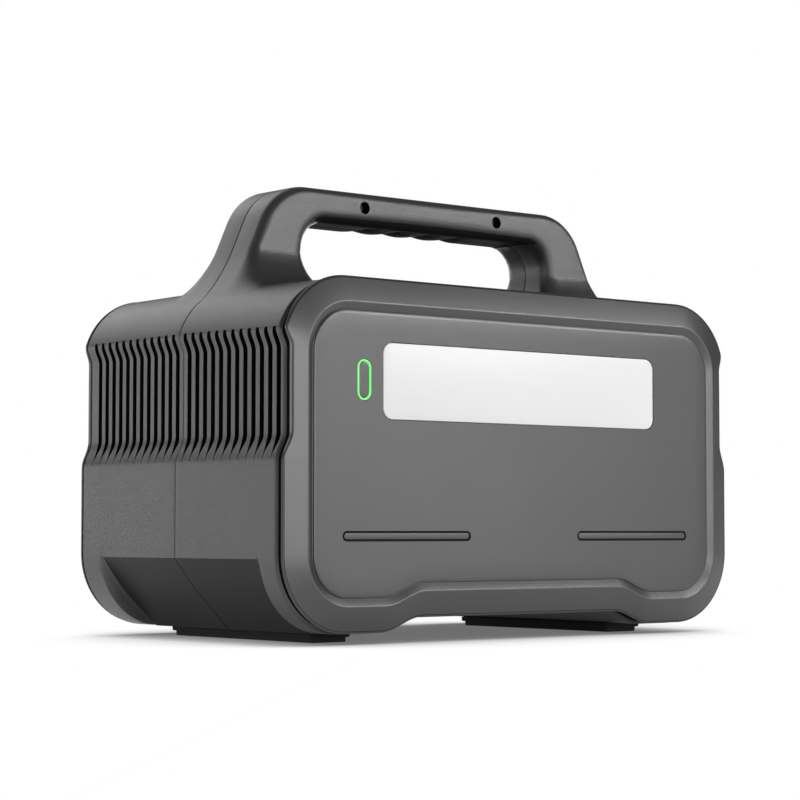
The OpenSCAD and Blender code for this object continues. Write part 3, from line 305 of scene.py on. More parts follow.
class Finish:
    """The nodes of a material or of the sky."""

    def __init__(self, owner):
        self.owner = owner
        owner.use_nodes = True
        self.tree = owner.node_tree
        self.tree.nodes.clear()

    def node(self, kind, inputs=None, output=0, **settings):
        """Adds a node with its settings and the values or links of its sockets."""
        made = self.tree.nodes.new("ShaderNode" + kind)
        for key, value in settings.items():
            setattr(made, key, value)
        for key, value in (inputs or {}).items():
            if isinstance(value, Value):
                self.tree.links.new(value.socket, made.inputs[key])
            else:
                made.inputs[key].default_value = value
        return Value(self, made.outputs[output]) if made.outputs else None

    def place(self):
        return self.node("TexCoord", output="Object")

    def noise(self, place, scale, detail=2.0):
        return self.node("TexNoise", {"Vector": place, "Scale": scale, "Detail": detail}, "Fac")

    def band(self, value, low, high):
        """0 below low, 1 above high."""
        return self.node("MapRange", {"Value": value, "From Min": low, "From Max": high},
                         clamp=True)

    def blend(self, factor, first, second):
        return self.node("Mix", {"Factor": factor, 6: tint(first), 7: tint(second)}, 2,
                         data_type="RGBA")

    def bump(self, height, strength, distance):
        return self.node("Bump", {"Height": height, "Strength": strength, "Distance": distance})

    def surface(self, inputs):
        """Ends a material with one shader."""
        self.node("OutputMaterial", {"Surface": self.node("BsdfPrincipled", inputs)})


def tint(value):
    return value if isinstance(value, Value) else (*value[:3], 1.0)


def shade(value, factor):
    return tuple(min(1.0, part * factor) for part in value[:3])


def edge_wear(f, place):
    """Thin rubbed patches along convex edges."""
    edge = f.band(f.node("NewGeometry", output="Pointiness"), 0.57, 0.68)
    return edge * f.band(f.noise(place, 160.0, 3.0), 0.42, 0.62)


def moulded(f, base, rough=0.28, grain=0.12, wear=0.35, gloss=0.5):
    """Moulded plastic: spark-eroded grain, faint flow clouds and rubbed edges."""
    place = f.place()
    clouds = f.noise(place, 14.0, 3.0)
    pores = f.noise(place, 2600.0, 1.0)
    pits = f.noise(place, 900.0)
    rubbed = edge_wear(f, place) * wear
    body = f.blend(f.band(clouds, 0.3, 0.7), shade(base, 0.96), shade(base, 1.04))
    speckled = f.blend(f.band(pores, 0.45, 0.8) * 0.35, body, shade(base, 1.25))
    f.surface({
        "Base Color": f.blend(rubbed, speckled, shade(base, 1.5)),
        "Roughness": rough - 0.06 + 0.12 * clouds + 0.06 * (1.0 - pits) - 0.2 * rubbed,
        "Specular IOR Level": gloss,
        "Normal": f.bump(pores * 0.6 + pits * 0.4, grain, 0.0003)})


def rubber(f, base):
    """Dusty rubber or foam."""
    place = f.place()
    dust = f.noise(place, 60.0, 4.0)
    f.surface({
        "Base Color": f.blend(f.band(dust, 0.45, 0.8), base, shade(base, 2.6)),
        "Roughness": 0.72 + 0.16 * dust,
        "Normal": f.bump(f.noise(place, 1500.0), 0.35, 0.0004)})


def metal(f, base, rough, brushed=(1.0, 1.0, 1.0)):
    """Stained metal, its streaks drawn out by the scale of its brushing."""
    place = f.node("Mapping", {"Vector": f.place(), "Scale": brushed})
    streaks = f.noise(place, 700.0, 3.0)
    stain = f.noise(place, 40.0, 3.0)
    f.surface({
        "Base Color": f.blend(f.band(stain, 0.35, 0.75), shade(base, 0.86), shade(base, 1.06)),
        "Metallic": 1.0, "Roughness": rough - 0.08 + 0.2 * streaks,
        "Normal": f.bump(streaks, 0.08, 0.0002)})


def circuit(f, base):
    """Solder mask with faint tracks."""
    place = f.place()
    tracks = f.node("TexVoronoi", {"Vector": place, "Scale": 130.0}, "Distance",
                    feature="DISTANCE_TO_EDGE", distance="CHEBYCHEV")
    line = 1.0 - f.band(tracks, 0.03, 0.07)
    f.surface({
        "Base Color": f.blend(line * 0.6, base, shade(base, 1.9)),
        "Roughness": 0.32 + 0.15 * f.noise(place, 220.0),
        "Normal": f.bump(line, 0.15, 0.0002)})


def milky_lens(f, base, glow=0.0):
    """Diffuser: faint moulded cells under a smooth skin."""
    place = f.place()
    cells = f.node("TexVoronoi", {"Vector": place, "Scale": 900.0}, "Distance", feature="F1")
    haze = f.noise(place, 18.0, 3.0)
    body = f.blend(f.band(haze, 0.3, 0.7), shade(base, 0.985), shade(base, 1.0))
    # A glow, when given, is painted light that brightens the lens
    f.surface({
        "Base Color": body, "Roughness": 0.34 + 0.08 * haze,
        "Normal": f.bump(cells, 0.04, 0.0002),
        "Emission Color": body, "Emission Strength": glow})


def lit_ring(f, base):
    """Light guide that glows a little unevenly."""
    patch = f.band(f.noise(f.place(), 260.0), 0.3, 0.7)
    glow = f.blend(patch, shade(base, 0.86), base)
    f.surface({
        "Base Color": glow, "Roughness": 0.3 + 0.1 * patch,
        "Emission Color": glow, "Emission Strength": 0.75})


def window_glass(f, base):
    """Dark glass with faint smears."""
    smear = f.noise(f.place(), 45.0, 4.0)
    f.surface({
        "Base Color": f.blend(f.band(smear, 0.4, 0.8), base, shade(base, 1.6)),
        "Roughness": 0.06 + 0.1 * f.band(smear, 0.35, 0.75), "Coat Weight": 0.6})


def finish(context, key):
    """The finish of that name, made when it is first asked for. A row without a colour, and brushed
    metal, which needs no row, take the colour of the record's slot."""
    if key not in FINISHES:
        c = sizes(context, "finish")
        slots = {m["slot"]: m["base_color"] for m in frame["record"]["materials"]}
        rows = {
            "shell_plastic": (moulded, c.shell, dict(grain=0.8, wear=0.0, gloss=0.9)),
            "hold_plastic": (moulded, c.shell, dict(rough=0.5, grain=0.08, wear=0.0, gloss=0.25)),
            # Rougher plastic under the grip, whose darker colour is painted shade
            "grip_plastic": (moulded, shade(c.shell, 0.4), dict(rough=0.8, wear=0.0, gloss=0.1)),
            "cover_plastic": (moulded, c.cover, dict(rough=0.31, grain=0.2, gloss=0.9)),
            # Dark painted shade for the walls and floors of openings, seats and blade slots, and
            # for the covers' inner wall
            "groove_plastic": (moulded, shade(c.cover, 0.3), dict(rough=0.6, wear=0.0, gloss=0.2)),
            "strip_plastic": (moulded, c.cover, dict(rough=0.4, gloss=0.9)),
            # Near-black painted shade for the insides of the shells, the vent slot walls, the gap
            # at the shell ends and the screw holes
            "case_liner": (moulded, c.liner, dict(rough=0.8, grain=0.1, wear=0.0, gloss=0.1)),
            "foot_rubber": (rubber, c.rubber, {}),
            "filter_foam": (rubber, c.liner, {}),
            "lead_black": (rubber, None, {}),
            "socket_black": (moulded, c.socket, dict(rough=0.42)),
            "fan_black": (moulded, None, dict(rough=0.5)),
            # The faint glow of the lens is painted light that brightens it
            "lens_white": (milky_lens, c.lens, dict(glow=0.02)),
            "led_yellow": (milky_lens, None, {}),
            "ring_green": (lit_ring, c.ring, {}),
            "board_green": (circuit, None, {}),
            "display_glass": (window_glass, c.glass, {}),
            "display_screen": (window_glass, shade(c.glass, 2.2), {}),
            "terminal_metal": (metal, c.terminal, dict(rough=0.3)),
            "display_panel": (moulded, None, dict(rough=0.3, grain=0.05)),
            "capacitor_sleeve": (moulded, None, dict(rough=0.25, grain=0.03)),
            "cell_wrap": (moulded, None, dict(rough=0.3, grain=0.03)),
            "ferrite": (moulded, None, dict(rough=0.6, grain=0.3)),
        }
        brushed_metal = (metal, None, dict(rough=0.34, brushed=(1.0, 0.12, 1.0)))
        maker, base, settings = rows.get(key, brushed_metal)
        f = Finish(bpy.data.materials.new(key))
        maker(f, slots[key] if base is None else base, **settings)
        FINISHES[key] = f.owner
    return FINISHES[key]


# Mesh helpers

SOFT_ANGLE = math.radians(32.0)
LEAST_RADIUS = 0.15
LEAST_STEP = 0.005
MERGED = 0.002


def ease(share):
    """Smooth step from 0 to 1."""
    share = min(max(share, 0.0), 1.0)
    return share * share * (3.0 - 2.0 * share)


def lerp(first, second, share):
    return first + (second - first) * share


def shares(count, first=0):
    """Even shares of a whole in that many steps."""
    return [i / count for i in range(first, count + 1)]


def pairs(items):
    """Each item of a closed loop with the next one."""
    return zip(items, items[1:] + items[:1])


def polar(radius, angle):
    return radius * Vector((math.cos(angle), math.sin(angle)))


def loft(bm, rings, painted=()):
    """Extrudes the first ring of points to each of the others in turn, the painted bands with the
    second finish; returns the first and the last loop of edges."""
    verts = [bm.verts.new(p) for p in rings[0]]
    first = loop = [bm.edges.new(pair) for pair in pairs(verts)]
    for band, points in enumerate(rings[1:]):
        fresh = {}
        for item in bmesh.ops.extrude_edge_only(bm, edges=loop)["geom"]:
            if isinstance(item, bmesh.types.BMFace):
                item.material_index = int(band in painted)
            elif isinstance(item, bmesh.types.BMVert):
                fresh.update({edge.other_vert(item): item for edge in item.link_edges})
        verts = [fresh[vert] for vert in verts]
        for vert, point in zip(verts, points):
            vert.co = point
        loop = [bm.edges.get(pair) for pair in pairs(verts)]
    return first, loop


def fill(bm, loop):
    return bmesh.ops.edgeloop_fill(bm, edges=loop)["faces"]


def bar_points(x, z, width, height, radius, inset=0.0, steps=6):
    """Rounded rectangle round x, z, anticlockwise from the right."""
    radius = max(radius, inset + LEAST_RADIUS)
    reach_x, reach_z, r = width / 2 - radius, height / 2 - radius, radius - inset
    points = []
    for corner, (sx, sz) in enumerate(((1, 1), (-1, 1), (-1, -1), (1, -1))):
        for share in shares(steps):
            a = QUARTER * (corner + share)
            points.append((x + sx * reach_x + r * math.cos(a), z + sz * reach_z + r * math.sin(a)))
    before = points[-1:] + points[:-1]
    return [p for p, last in zip(points, before) if math.dist(p, last) > LEAST_STEP]


def bar_outline(x, z, width, height, radius, steps=6):
    return lambda inset: bar_points(x, z, width, height, radius, inset, steps)


def disc_outline(x, z, width):
    return bar_outline(x, z, width, width, width / 2, 12)


def plug(bm, outline, front, steps, axis="Y", caps=(True, True), painted=()):
    """Stack of rings of outline(inset), closed at its ends. Each step is an inset and a depth
    behind the front along an axis. The painted bands take the second finish, and so does the last
    end where its number is painted."""
    rings = []
    for inset, depth in steps:
        level = front + depth
        rings.append([(u, level, v) if axis == "Y" else (u, v, level) for u, v in outline(inset)])
    loops = loft(bm, rings, painted)
    for loop, closed, band in zip(loops, caps, (-1, len(steps) - 1)):
        if closed:
            for face in fill(bm, loop):
                face.material_index = int(band in painted)
    return loops


def new_object(context, name, bm):
    """Turns a mesh into an object of the scene."""
    mesh = bpy.data.meshes.new(name)
    bm.to_mesh(mesh)
    bm.free()
    made = bpy.data.objects.new(name, mesh)
    context.scene.collection.objects.link(made)
    return made


def piece(context, name, bm, finishes, replaces=(), body="case", rear=False):
    """Turns a mesh in millimetres into a finished piece that rides on a body. A rear piece is
    modelled on the lamp end and mirrored to the outlet end."""
    if rear:
        bmesh.ops.scale(bm, vec=(1, -1, 1), verts=bm.verts)
    bmesh.ops.remove_doubles(bm, verts=bm.verts, dist=MERGED)
    bmesh.ops.recalc_face_normals(bm, faces=bm.faces)
    for face in bm.faces:
        face.smooth = True
    for edge in bm.edges:
        edge.smooth = len(edge.link_faces) == 2 and edge.calc_face_angle(0.0) < SOFT_ANGLE
    bmesh.ops.scale(bm, vec=(MM, MM, MM), verts=bm.verts)
    made = new_object(context, name, bm)
    for key in finishes:
        made.data.materials.append(finish(context, key))
    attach(made, body)
    if replaces:
        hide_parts(*replaces)
    return made


def thicken(made, wall):
    """Gives an open piece a wall on its inner side and cut edges, in the second finish, a dark
    painted shade.
    """
    solid = made.modifiers.new("wall", "SOLIDIFY")
    solid.thickness = wall * MM
    solid.offset = -1.0
    # The inner side and the cut edges, such as the walls of the vent slots, take the second finish:
    # painted shade for the shells and the covers
    solid.material_offset = 1
    solid.material_offset_rim = 1


# Case

FILTER_EDGE, FILTER_CORNER, FAN_EDGE = 0.5, 2.0, 1.0
HOLD_RAMP = 3.0
HOLD_STEP = 0.9
HOLD_BEND = 0.6
HOLD_PAINT_UP, HOLD_PAINT_OUT = 0.5, 0.3
CREASE_SHIFT = 0.8
SIDE_LEVELS, WAIST_LEVELS = (7, 18, 30, 40), (20, 32, 44)
BEVEL_STEPS = (0.05, 0.15, 0.42, 1.0)
BEVEL_LEAD = (0.9, 0.3)
END_STEP, END_LIP = 0.2, 14.0
SLOT_WALL = 6.0
SLOT_FOOT_PINCH, SLOT_FOOT_START, SLOT_FOOT_END, SLOT_FOOT_RUN = 0.9, 6.0, 12.0, 9.5
SLOT_HEAD_PINCH, SLOT_HEAD_START, SLOT_HEAD_RUN = 0.35, 4.0, 4.5


def seam_steps(c):
    """Places across the seam and depths of the groove between the halves."""
    return [(0.0, 0.6), (-c.seam, 0.08), (-1.2, 0.0)]


def waist_share(c, z):
    drawn_in = ease((z - c.waist_low) / c.waist_low_run)
    return drawn_in * (1 - ease((z - c.waist_high + c.waist_high_run) / c.waist_high_run))


def hold_corners(c, inset=0.0):
    """Corners of the hand hold's section as x, z: upper edge, crease and lower edge."""
    return [Vector((c.half_width - inset, c.low + c.corner - c.hold_edge)),
            Vector((c.half_width - c.hold_crease - CREASE_SHIFT * inset, c.low + c.hold_rise)),
            Vector((c.half_width - c.hold_foot, c.low + inset))]


def case_half(c, inset=0.0, waist=1.0, along=None):
    """Right half of the case's outline, from the middle of the underside to the middle of the top.
    Each point is x, z and its share of the waist; a distance along from the seam cuts the hand
    hold."""
    r, low = c.corner - inset, c.low + inset
    cx, low_c, high_c = c.half_width - c.corner, c.low + c.corner, c.top - c.corner
    points = [(c.channel_in * share, low + c.channel_rise, 0.0) for share in shares(4)[:-1]]
    for share in shares(12):
        x = lerp(c.channel_in, c.channel_out, share)
        points.append((x, low + c.channel_rise * (1 - ease(share)), 0.0))
    edge, crease, foot = hold_corners(c, inset)
    scoop = 0.0 if along is None else ease((c.hold_half + HOLD_RAMP / 2 - along) / HOLD_RAMP)
    for share in shares(18):
        a = QUARTER * (share - 1)
        if share < HOLD_BEND:
            cut = lerp(foot, crease, share / HOLD_BEND)
        else:
            cut = lerp(crease, edge, (share - HOLD_BEND) / (1 - HOLD_BEND))
        points.append((lerp(cx + r * math.cos(a), cut.x, scoop),
                       lerp(low_c + r * math.sin(a), cut.y, scoop), 0.0))
    levels = [low_c + up for up in SIDE_LEVELS]
    levels += [c.waist_low + c.waist_low_run * share for share in shares(10)]
    levels += [c.waist_low + up for up in WAIST_LEVELS]
    levels += [c.waist_high - c.waist_high_run * (1 - share) for share in shares(10)]
    for z in levels:
        drawn_in = waist_share(c, z)
        a = math.asin(min(1.0, max(0.0, (z - high_c) / c.corner)))
        x = cx + r * math.cos(a) - waist * c.waist_depth * drawn_in
        points.append((x, z if z <= high_c else high_c + r * math.sin(a), drawn_in))
    start = math.asin((c.waist_high - high_c) / c.corner)
    for share in shares(14, 1):
        a = lerp(start, QUARTER, share)
        points.append((cx + r * math.cos(a), high_c + r * math.sin(a), 0.0))
    return points + [(cx * share, c.top - inset, 0.0) for share in (0.75, 0.5, 0.25, 0.0)]


def whole(half):
    """Closes a right half into a whole outline."""
    return half + [(-x, *rest) for x, *rest in reversed(half[1:-1])]


def drafted(c, x, y, z):
    """Moves a point of the straight case to where the draft of the mould puts it."""
    inset = c.draft * abs(y) / c.end
    mid = (c.low + c.top) / 2
    down = inset * max(0.0, (z - mid) / (c.top - mid))
    return Vector((x * (1 - inset / c.half_width), y, z - down))


def top_level(c, x, y):
    """Height of the case's top over x, y."""
    inset = c.draft * abs(y) / c.end
    out = max(0.0, abs(x) / (1 - inset / c.half_width) - c.half_width + c.corner)
    z = c.top - c.corner + math.sqrt(max(0.0, c.corner ** 2 - out ** 2))
    return drafted(c, x, y, z).z


def slot_pinch(c, v, z):
    """Share by which the edges of a vent slot draw together towards its foot and its head."""
    up = z - c.waist_low
    if -SLOT_FOOT_START < up < c.waist_low_run:
        start = ease((up + SLOT_FOOT_START) / SLOT_FOOT_START)
        return SLOT_FOOT_PINCH * start * ease((SLOT_FOOT_END - up) / SLOT_FOOT_RUN)
    return SLOT_HEAD_PINCH * ease((z - v.high + SLOT_HEAD_START) / SLOT_HEAD_RUN)


def shell_rings(c, v, lead):
    """Rings of the lamp-side shell from the seam groove to its end, where the bevel takes up the
    lead, and the numbers of the bands that are vent slots."""
    stations = [(y, depth, None) for y, depth in seam_steps(c)]
    for i in range(v.count):
        middle = -(v.first + i * v.pitch)
        stations += [(middle + side * v.width / 2, 0.0, middle) for side in (1, -1)]
    stations += [(side * HOLD_STEP - c.hold_half, 0.0, None) for side in (1, 0, -1)]
    stations.sort(key=lambda station: -station[0])
    start = lead - c.end
    stations += [(start + step, 0.0, None) for step in BEVEL_LEAD]
    stations += [(start - share * c.bevel, share * c.bevel, None) for share in BEVEL_STEPS]
    stations += [(-c.end, inset, None) for inset in (c.bevel + END_STEP, END_LIP)]
    rings = []
    for y, inset, middle in stations:
        points = []
        for x, z, _ in whole(case_half(c, inset, 1.0, abs(y))):
            level = y if middle is None else lerp(y, middle, slot_pinch(c, v, z))
            points.append(drafted(c, x, level, z))
        rings.append(points)
    middles = [middle for _, _, middle in stations]
    bands = enumerate(zip(middles, middles[1:]))
    return rings, [i for i, (near, far) in bands if near is not None and near == far]


def dress_shell(bm, c, v):
    """Takes the painted faces out of the vent slots, and gives the hand holds their own finish."""
    edge, crease, foot = hold_corners(c)
    vents_end = v.first + v.count * v.pitch - v.width
    side_wall = c.half_width - c.waist_depth - SLOT_WALL
    gone = []
    for face in bm.faces:
        at = face.calc_center_median()
        x, y = abs(at.x), abs(at.y)
        if face.material_index and y < vents_end:
            face.material_index = 0
            if v.low < at.z < v.high and x > side_wall:
                gone.append(face)
        tall = foot.y + HOLD_PAINT_UP < at.z < edge.y
        if tall and x > foot.x and y < c.hold_half - HOLD_STEP:
            low, high = (foot, crease) if at.z < crease.y else (crease, edge)
            cut = lerp(low.x, high.x, (at.z - low.y) / (high.y - low.y))
            if x < cut + HOLD_PAINT_OUT:
                face.material_index = 2
    bmesh.ops.delete(bm, geom=gone, context="FACES")


def case_sizes(context, rear):
    """Sizes of the case, for its outlet end with that end's draft and bevel."""
    c = sizes(context, "case")
    if rear:
        c.draft, c.bevel = c.outlet_draft, c.outlet_turn
    return c


def half_shell(context, name, node, rear):
    c, v = case_sizes(context, rear), sizes(context, "vents")
    bm = bmesh.new()
    rings, slots = shell_rings(c, v, c.outlet_bevel if rear else c.lamp_bevel)
    # The last bands of the bevel and the end take the near-black second finish: painted shade for
    # the gap under the cover's edge
    shaded_end_bands = range(len(rings) - 4, len(rings) - 1)
    loft(bm, rings, [*slots, *shaded_end_bands])
    dress_shell(bm, c, v)
    finishes = ("shell_plastic", "case_liner", "hold_plastic")
    thicken(piece(context, name, bm, finishes, (node,), rear=rear), c.wall)


class MakeShells(bpy.types.Operator):
    """Two half shells with vents, hand holds, channel and seam groove"""

    bl_idname = "power_station.shells"
    bl_label = "Half shells"

    def execute(self, context):
        half_shell(context, "lamp_side_shell", "front_shell", False)
        half_shell(context, "outlet_side_shell", "rear_shell", True)
        return {"FINISHED"}


class MakeFilters(bpy.types.Operator):
    """Foam dust filter behind the vents of each side, open in front of the fan"""

    bl_idname = "power_station.filters"
    bl_label = "Dust filters"

    def execute(self, context):
        v = sizes(context, "vents")
        bm = bmesh.new()
        for node, side in (("left_fan_frame", -1), ("right_fan_frame", 1)):
            low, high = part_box(node)
            width, level = (high.y - low.y) / MM, (low.z + high.z) / 2 / MM
            near = max(abs(low.x), abs(high.x)) / MM + v.filter_gap
            far = near + v.filter
            hole_width = width - 2 * FAN_EDGE
            hole = bar_points(0, level, hole_width, hole_width, hole_width / 2 - 0.1, steps=12)
            edge = bar_points(0, level, v.filter_width, v.high - v.low - 2 * FILTER_EDGE,
                              FILTER_CORNER, steps=12)
            rings = [(near, hole), (far, hole), (far, edge), (near, edge), (near, hole)]
            loft(bm, [[(side * x, y, z) for y, z in points] for x, points in rings])
        piece(context, "dust_filters", bm, ("filter_foam",))
        return {"FINISHED"}


# Handle

SUNK = 0.04
FOOT_ROOT = 1.5
BUMP_EDGE = (0.8, 1.6, 2.4)
# Heights about the opening's top, and the least slope, of the faces that take painted shade under
# the grip
UNDERSIDE_SHADE = (-0.5, 3.0)
UNDERSIDE_SHADE_SLOPE = 0.6
SILL_EDGE, SILL_ROOT, SILL_SHORT = 5.0, 3.0, 6.0


def finger_rise(h, x):
    """How far the underside of the grip lies above the lowest line of its finger bumps at x."""
    if abs(x) > (h.bumps - 1) / 2 * h.bump_pitch:
        return 0.0
    away = x - round(x / h.bump_pitch) * h.bump_pitch
    return h.bump_radius - math.sqrt(h.bump_radius ** 2 - away ** 2)


def handle_spine(h):
    """Inner and outer points of the right half of the handle, from its middle to the crease of its
    leg."""
    grip_end = h.hand_half - h.hand_radius
    middle = Vector((grip_end, h.hand_top - h.hand_radius))
    bend = Vector((h.bend_x, h.top - h.bend))
    spine = [(Vector((grip_end * share, h.hand_top)), Vector((h.bend_x * share, h.top)))
             for share in shares(60)]
    for share in shares(14, 1):
        spine.append((middle + polar(h.hand_radius, QUARTER * (1 - share)),
                      bend + polar(h.bend, lerp(QUARTER, h.lean, share))))
    outer = spine[-1][1]
    down = Vector((math.sin(h.lean), -math.cos(h.lean)))
    turn = math.asin((h.crease - middle.y) / h.hand_radius)
    drop = (outer.y - h.crease) / math.cos(h.lean)
    for share in shares(8, 1):
        spine.append((middle + polar(h.hand_radius, turn * share), outer + down * (drop * share)))
    return spine


def handle_section(c, h, inner, outer, through):
    """Points of the front half section between two points, each with its share of the width and its
    outward direction. Finger bumps that don't run through stop short of the rounded edge."""
    width = (outer - inner).length
    along = (outer - inner) / width
    rise = finger_rise(h, inner.x) if abs(inner.y - h.hand_top) < 0.01 else 0.0
    r, low = min(h.rounding, width / 2 - 0.4), min(h.low_rounding, width / 2)
    flat, low_flat = h.depth - r, h.depth - low
    seam = seam_steps(c)
    profile = [(width - depth, y, 1, 0) for y, depth in seam] + [(width, -flat / 2, 1, 0)]
    for share in shares(8):
        cos, sin = math.cos(QUARTER * share), math.sin(QUARTER * share)
        profile.append((width - r + r * cos, -flat - r * sin, cos, -sin))
    profile += [(lerp(width - r, low, share), -h.depth, 0, -1) for share in (0.25, 0.5, 0.75)]
    for share in shares(8):
        cos, sin = math.cos(QUARTER * (1 + share)), math.sin(QUARTER * (1 + share))
        lift = rise * ease(2 * share - 0.5) if through else 0.0
        profile.append((low + low * cos + lift, -low_flat - low * sin, cos, -sin))
    under = [(0, step - low_flat) for step in BUMP_EDGE] + [(0, -low_flat / 2)]
    for u, y in under + [(depth, y) for y, depth in reversed(seam)]:
        share = 1.0 if through else ease((low_flat + y) / BUMP_EDGE[-1])
        profile.append((u + rise * share, y, -1, 0))
    points = []
    for u, y, out_u, out_y in profile:
        at = inner + along * u
        points.append((Vector((at.x, y, at.y)), u / width, out_u, out_y))
    return points


def handle_rings(c, h, through):
    """Rings of the front half of the handle over its right half, from the middle to the spread
    foot."""
    sections = [handle_section(c, h, inner, outer, through) for inner, outer in handle_spine(h)]
    rings = [[p for p, *_ in section] for section in sections]
    lean = Vector((math.sin(h.lean), 0, -math.cos(h.lean)))
    curves = []
    for start, share, out_u, out_y in sections[-1]:
        down = lerp(Vector((0, 0, -1)), lean, share).normalized()
        bend = start.copy()
        for _ in range(6):
            bend += down * ((bend.z - top_level(c, bend.x, bend.y)) / -down.z)
        reach = h.flare_in if out_u < 0 else h.flare_out
        spread = Vector((bend.x + reach * out_u, bend.y + h.flare * out_y, 0))
        spread.z = top_level(c, spread.x, spread.y) - SUNK
        curves.append((start, bend, spread, h.kick * max(0.0, -out_y)))
    for share in shares(14, 1):
        down, out = math.sin(QUARTER * share), 1 - math.cos(QUARTER * share)
        rings.append([start + (bend - start) * down + (spread - bend) * lerp(out, down, kick)
                      for start, bend, spread, kick in curves])
    rings.append([spread - Vector((0, 0, FOOT_ROOT)) for _, _, spread, _ in curves])
    return rings


def sill_rings(c, h):
    """End rings of the sill under the hand opening, which runs out on the top of the case."""
    near, far = SILL_EDGE - h.depth, -h.depth - h.flare
    profile = [(y, h.sill - depth) for y, depth in seam_steps(c)] + [(near, h.sill)]
    profile += [(lerp(near, far, share), h.sill * (1 - ease(share)) - SUNK)
                for share in shares(12, 1)]
    points = [(y, top_level(c, 0, y) + up) for y, up in profile]
    points += [(far, c.top - SILL_ROOT), (0.0, c.top - SILL_ROOT)]
    reach = h.hand_half - SILL_SHORT
    return [[(x, y, z) for y, z in points] for x in (-reach, reach)]


def half_handle(context, name, rear):
    c, h = case_sizes(context, rear), sizes(context, "handle")
    right = handle_rings(c, h, rear)
    left = [[Vector((-p.x, p.y, p.z)) for p in points] for points in right]
    bm = bmesh.new()
    for rings in (left[::-1] + right[1:], sill_rings(c, h)):
        for loop in loft(bm, rings):
            fill(bm, loop)
    bm.normal_update()
    low, high = (h.hand_top + up for up in UNDERSIDE_SHADE)
    # Faces that lie flat under the grip take a darker finish, painted shade
    for face in bm.faces:
        under = low < face.calc_center_median().z < high
        if under and abs(face.normal.z) > UNDERSIDE_SHADE_SLOPE:
            face.material_index = 2
    finishes = ("shell_plastic", "case_liner", "grip_plastic")
    made = piece(context, name, bm, finishes, rear=rear)
    if not rear:
        drill_handle(context, made, h)


def drill_handle(context, made, h):
    """Counterbores for the handle screws."""
    bm = bmesh.new()
    for side in (-1, 1):
        place = Matrix.Translation((side * h.screw_x, -h.depth, h.screw_z))
        bmesh.ops.create_cone(bm, cap_ends=True, segments=40, radius1=h.screw_hole,
                              radius2=h.screw_hole, depth=h.screw_deep,
                              matrix=place @ Matrix.Rotation(QUARTER, 4, "X"))
    # The screw holes take the near-black second finish, painted shade
    for face in bm.faces:
        face.material_index = 1
    bmesh.ops.scale(bm, vec=(MM, MM, MM), verts=bm.verts)
    drill = new_object(context, "handle_drill", bm)
    for item in made.data.materials:
        drill.data.materials.append(item)
    cut = made.modifiers.new("drill", "BOOLEAN")
    cut.operation = "DIFFERENCE"
    cut.solver = "EXACT"
    cut.object = drill
    context.view_layer.update()
    solid = made.evaluated_get(context.evaluated_depsgraph_get())
    drilled = bpy.data.meshes.new_from_object(solid)
    # The cut can turn the sill, which overlaps the legs, inside out
    bm = bmesh.new()
    bm.from_mesh(drilled)
    bmesh.ops.recalc_face_normals(bm, faces=bm.faces)
    bm.to_mesh(drilled)
    bm.free()
    made.modifiers.clear()
    made.data = drilled
    bpy.data.objects.remove(drill)


class MakeHandle(bpy.types.Operator):
    """Front and rear half of the carry handle, with finger bumps and flared feet"""

    bl_idname = "power_station.handle"
    bl_label = "Handle"

    def execute(self, context):
        half_handle(context, "lamp_side_handle", False)
        half_handle(context, "outlet_side_handle", True)
        return {"FINISHED"}


# Covers

# Profiles of plugs: inset from the outline and depth behind the front, from the first end on
SEAT_EDGE = [(-1.8, 0), (-0.8, 0), (-0.2, 0), (0, 0.2)]
STRIP = [(0, 1.2), (0, 0.3), (0.1, 0.14), (0.35, 0.06)]
LENS = [(-2.4, 3.1), (-2.4, 2.3), (0, 2.3), (0, 0.35), (0.12, 0.12), (0.5, 0)]
RING_EDGE = [(0, 2.3), (0, 0.2), (0.08, 0.05), (0.25, 0)]
KEY_EDGE = [(0, 0.4), (0.12, 0.15), (0.4, 0.03), (0.9, 0)]
KEY_FLANGE = [(-0.9, 0.9), (-0.9, 0.3), (0, 0.3)]
FOOT = [(0, 3.1), (0.2, 2.75), (0.7, 2.5), (1.9, 2.4), (2.0, 2.2), (2.0, 0.5), (2.2, 0.15),
        (2.6, 0)]
WINDOW_DEEP, STRIP_DEEP, OUTLET_DEEP = 2.2, 1.2, 3.2
LAMP_CAP_DEEP, LAMP_STEM = 2.8, (9.2, 3.3)
RING_PROUD, BUTTON_SUNK = 0.2, 0.2
STEM = 3.0
BORDER_STEPS = (0.06, 0.14, 0.24, 0.36, 0.5, 0.66, 0.83, 1.0)
BORDER_ROUND = 2.4


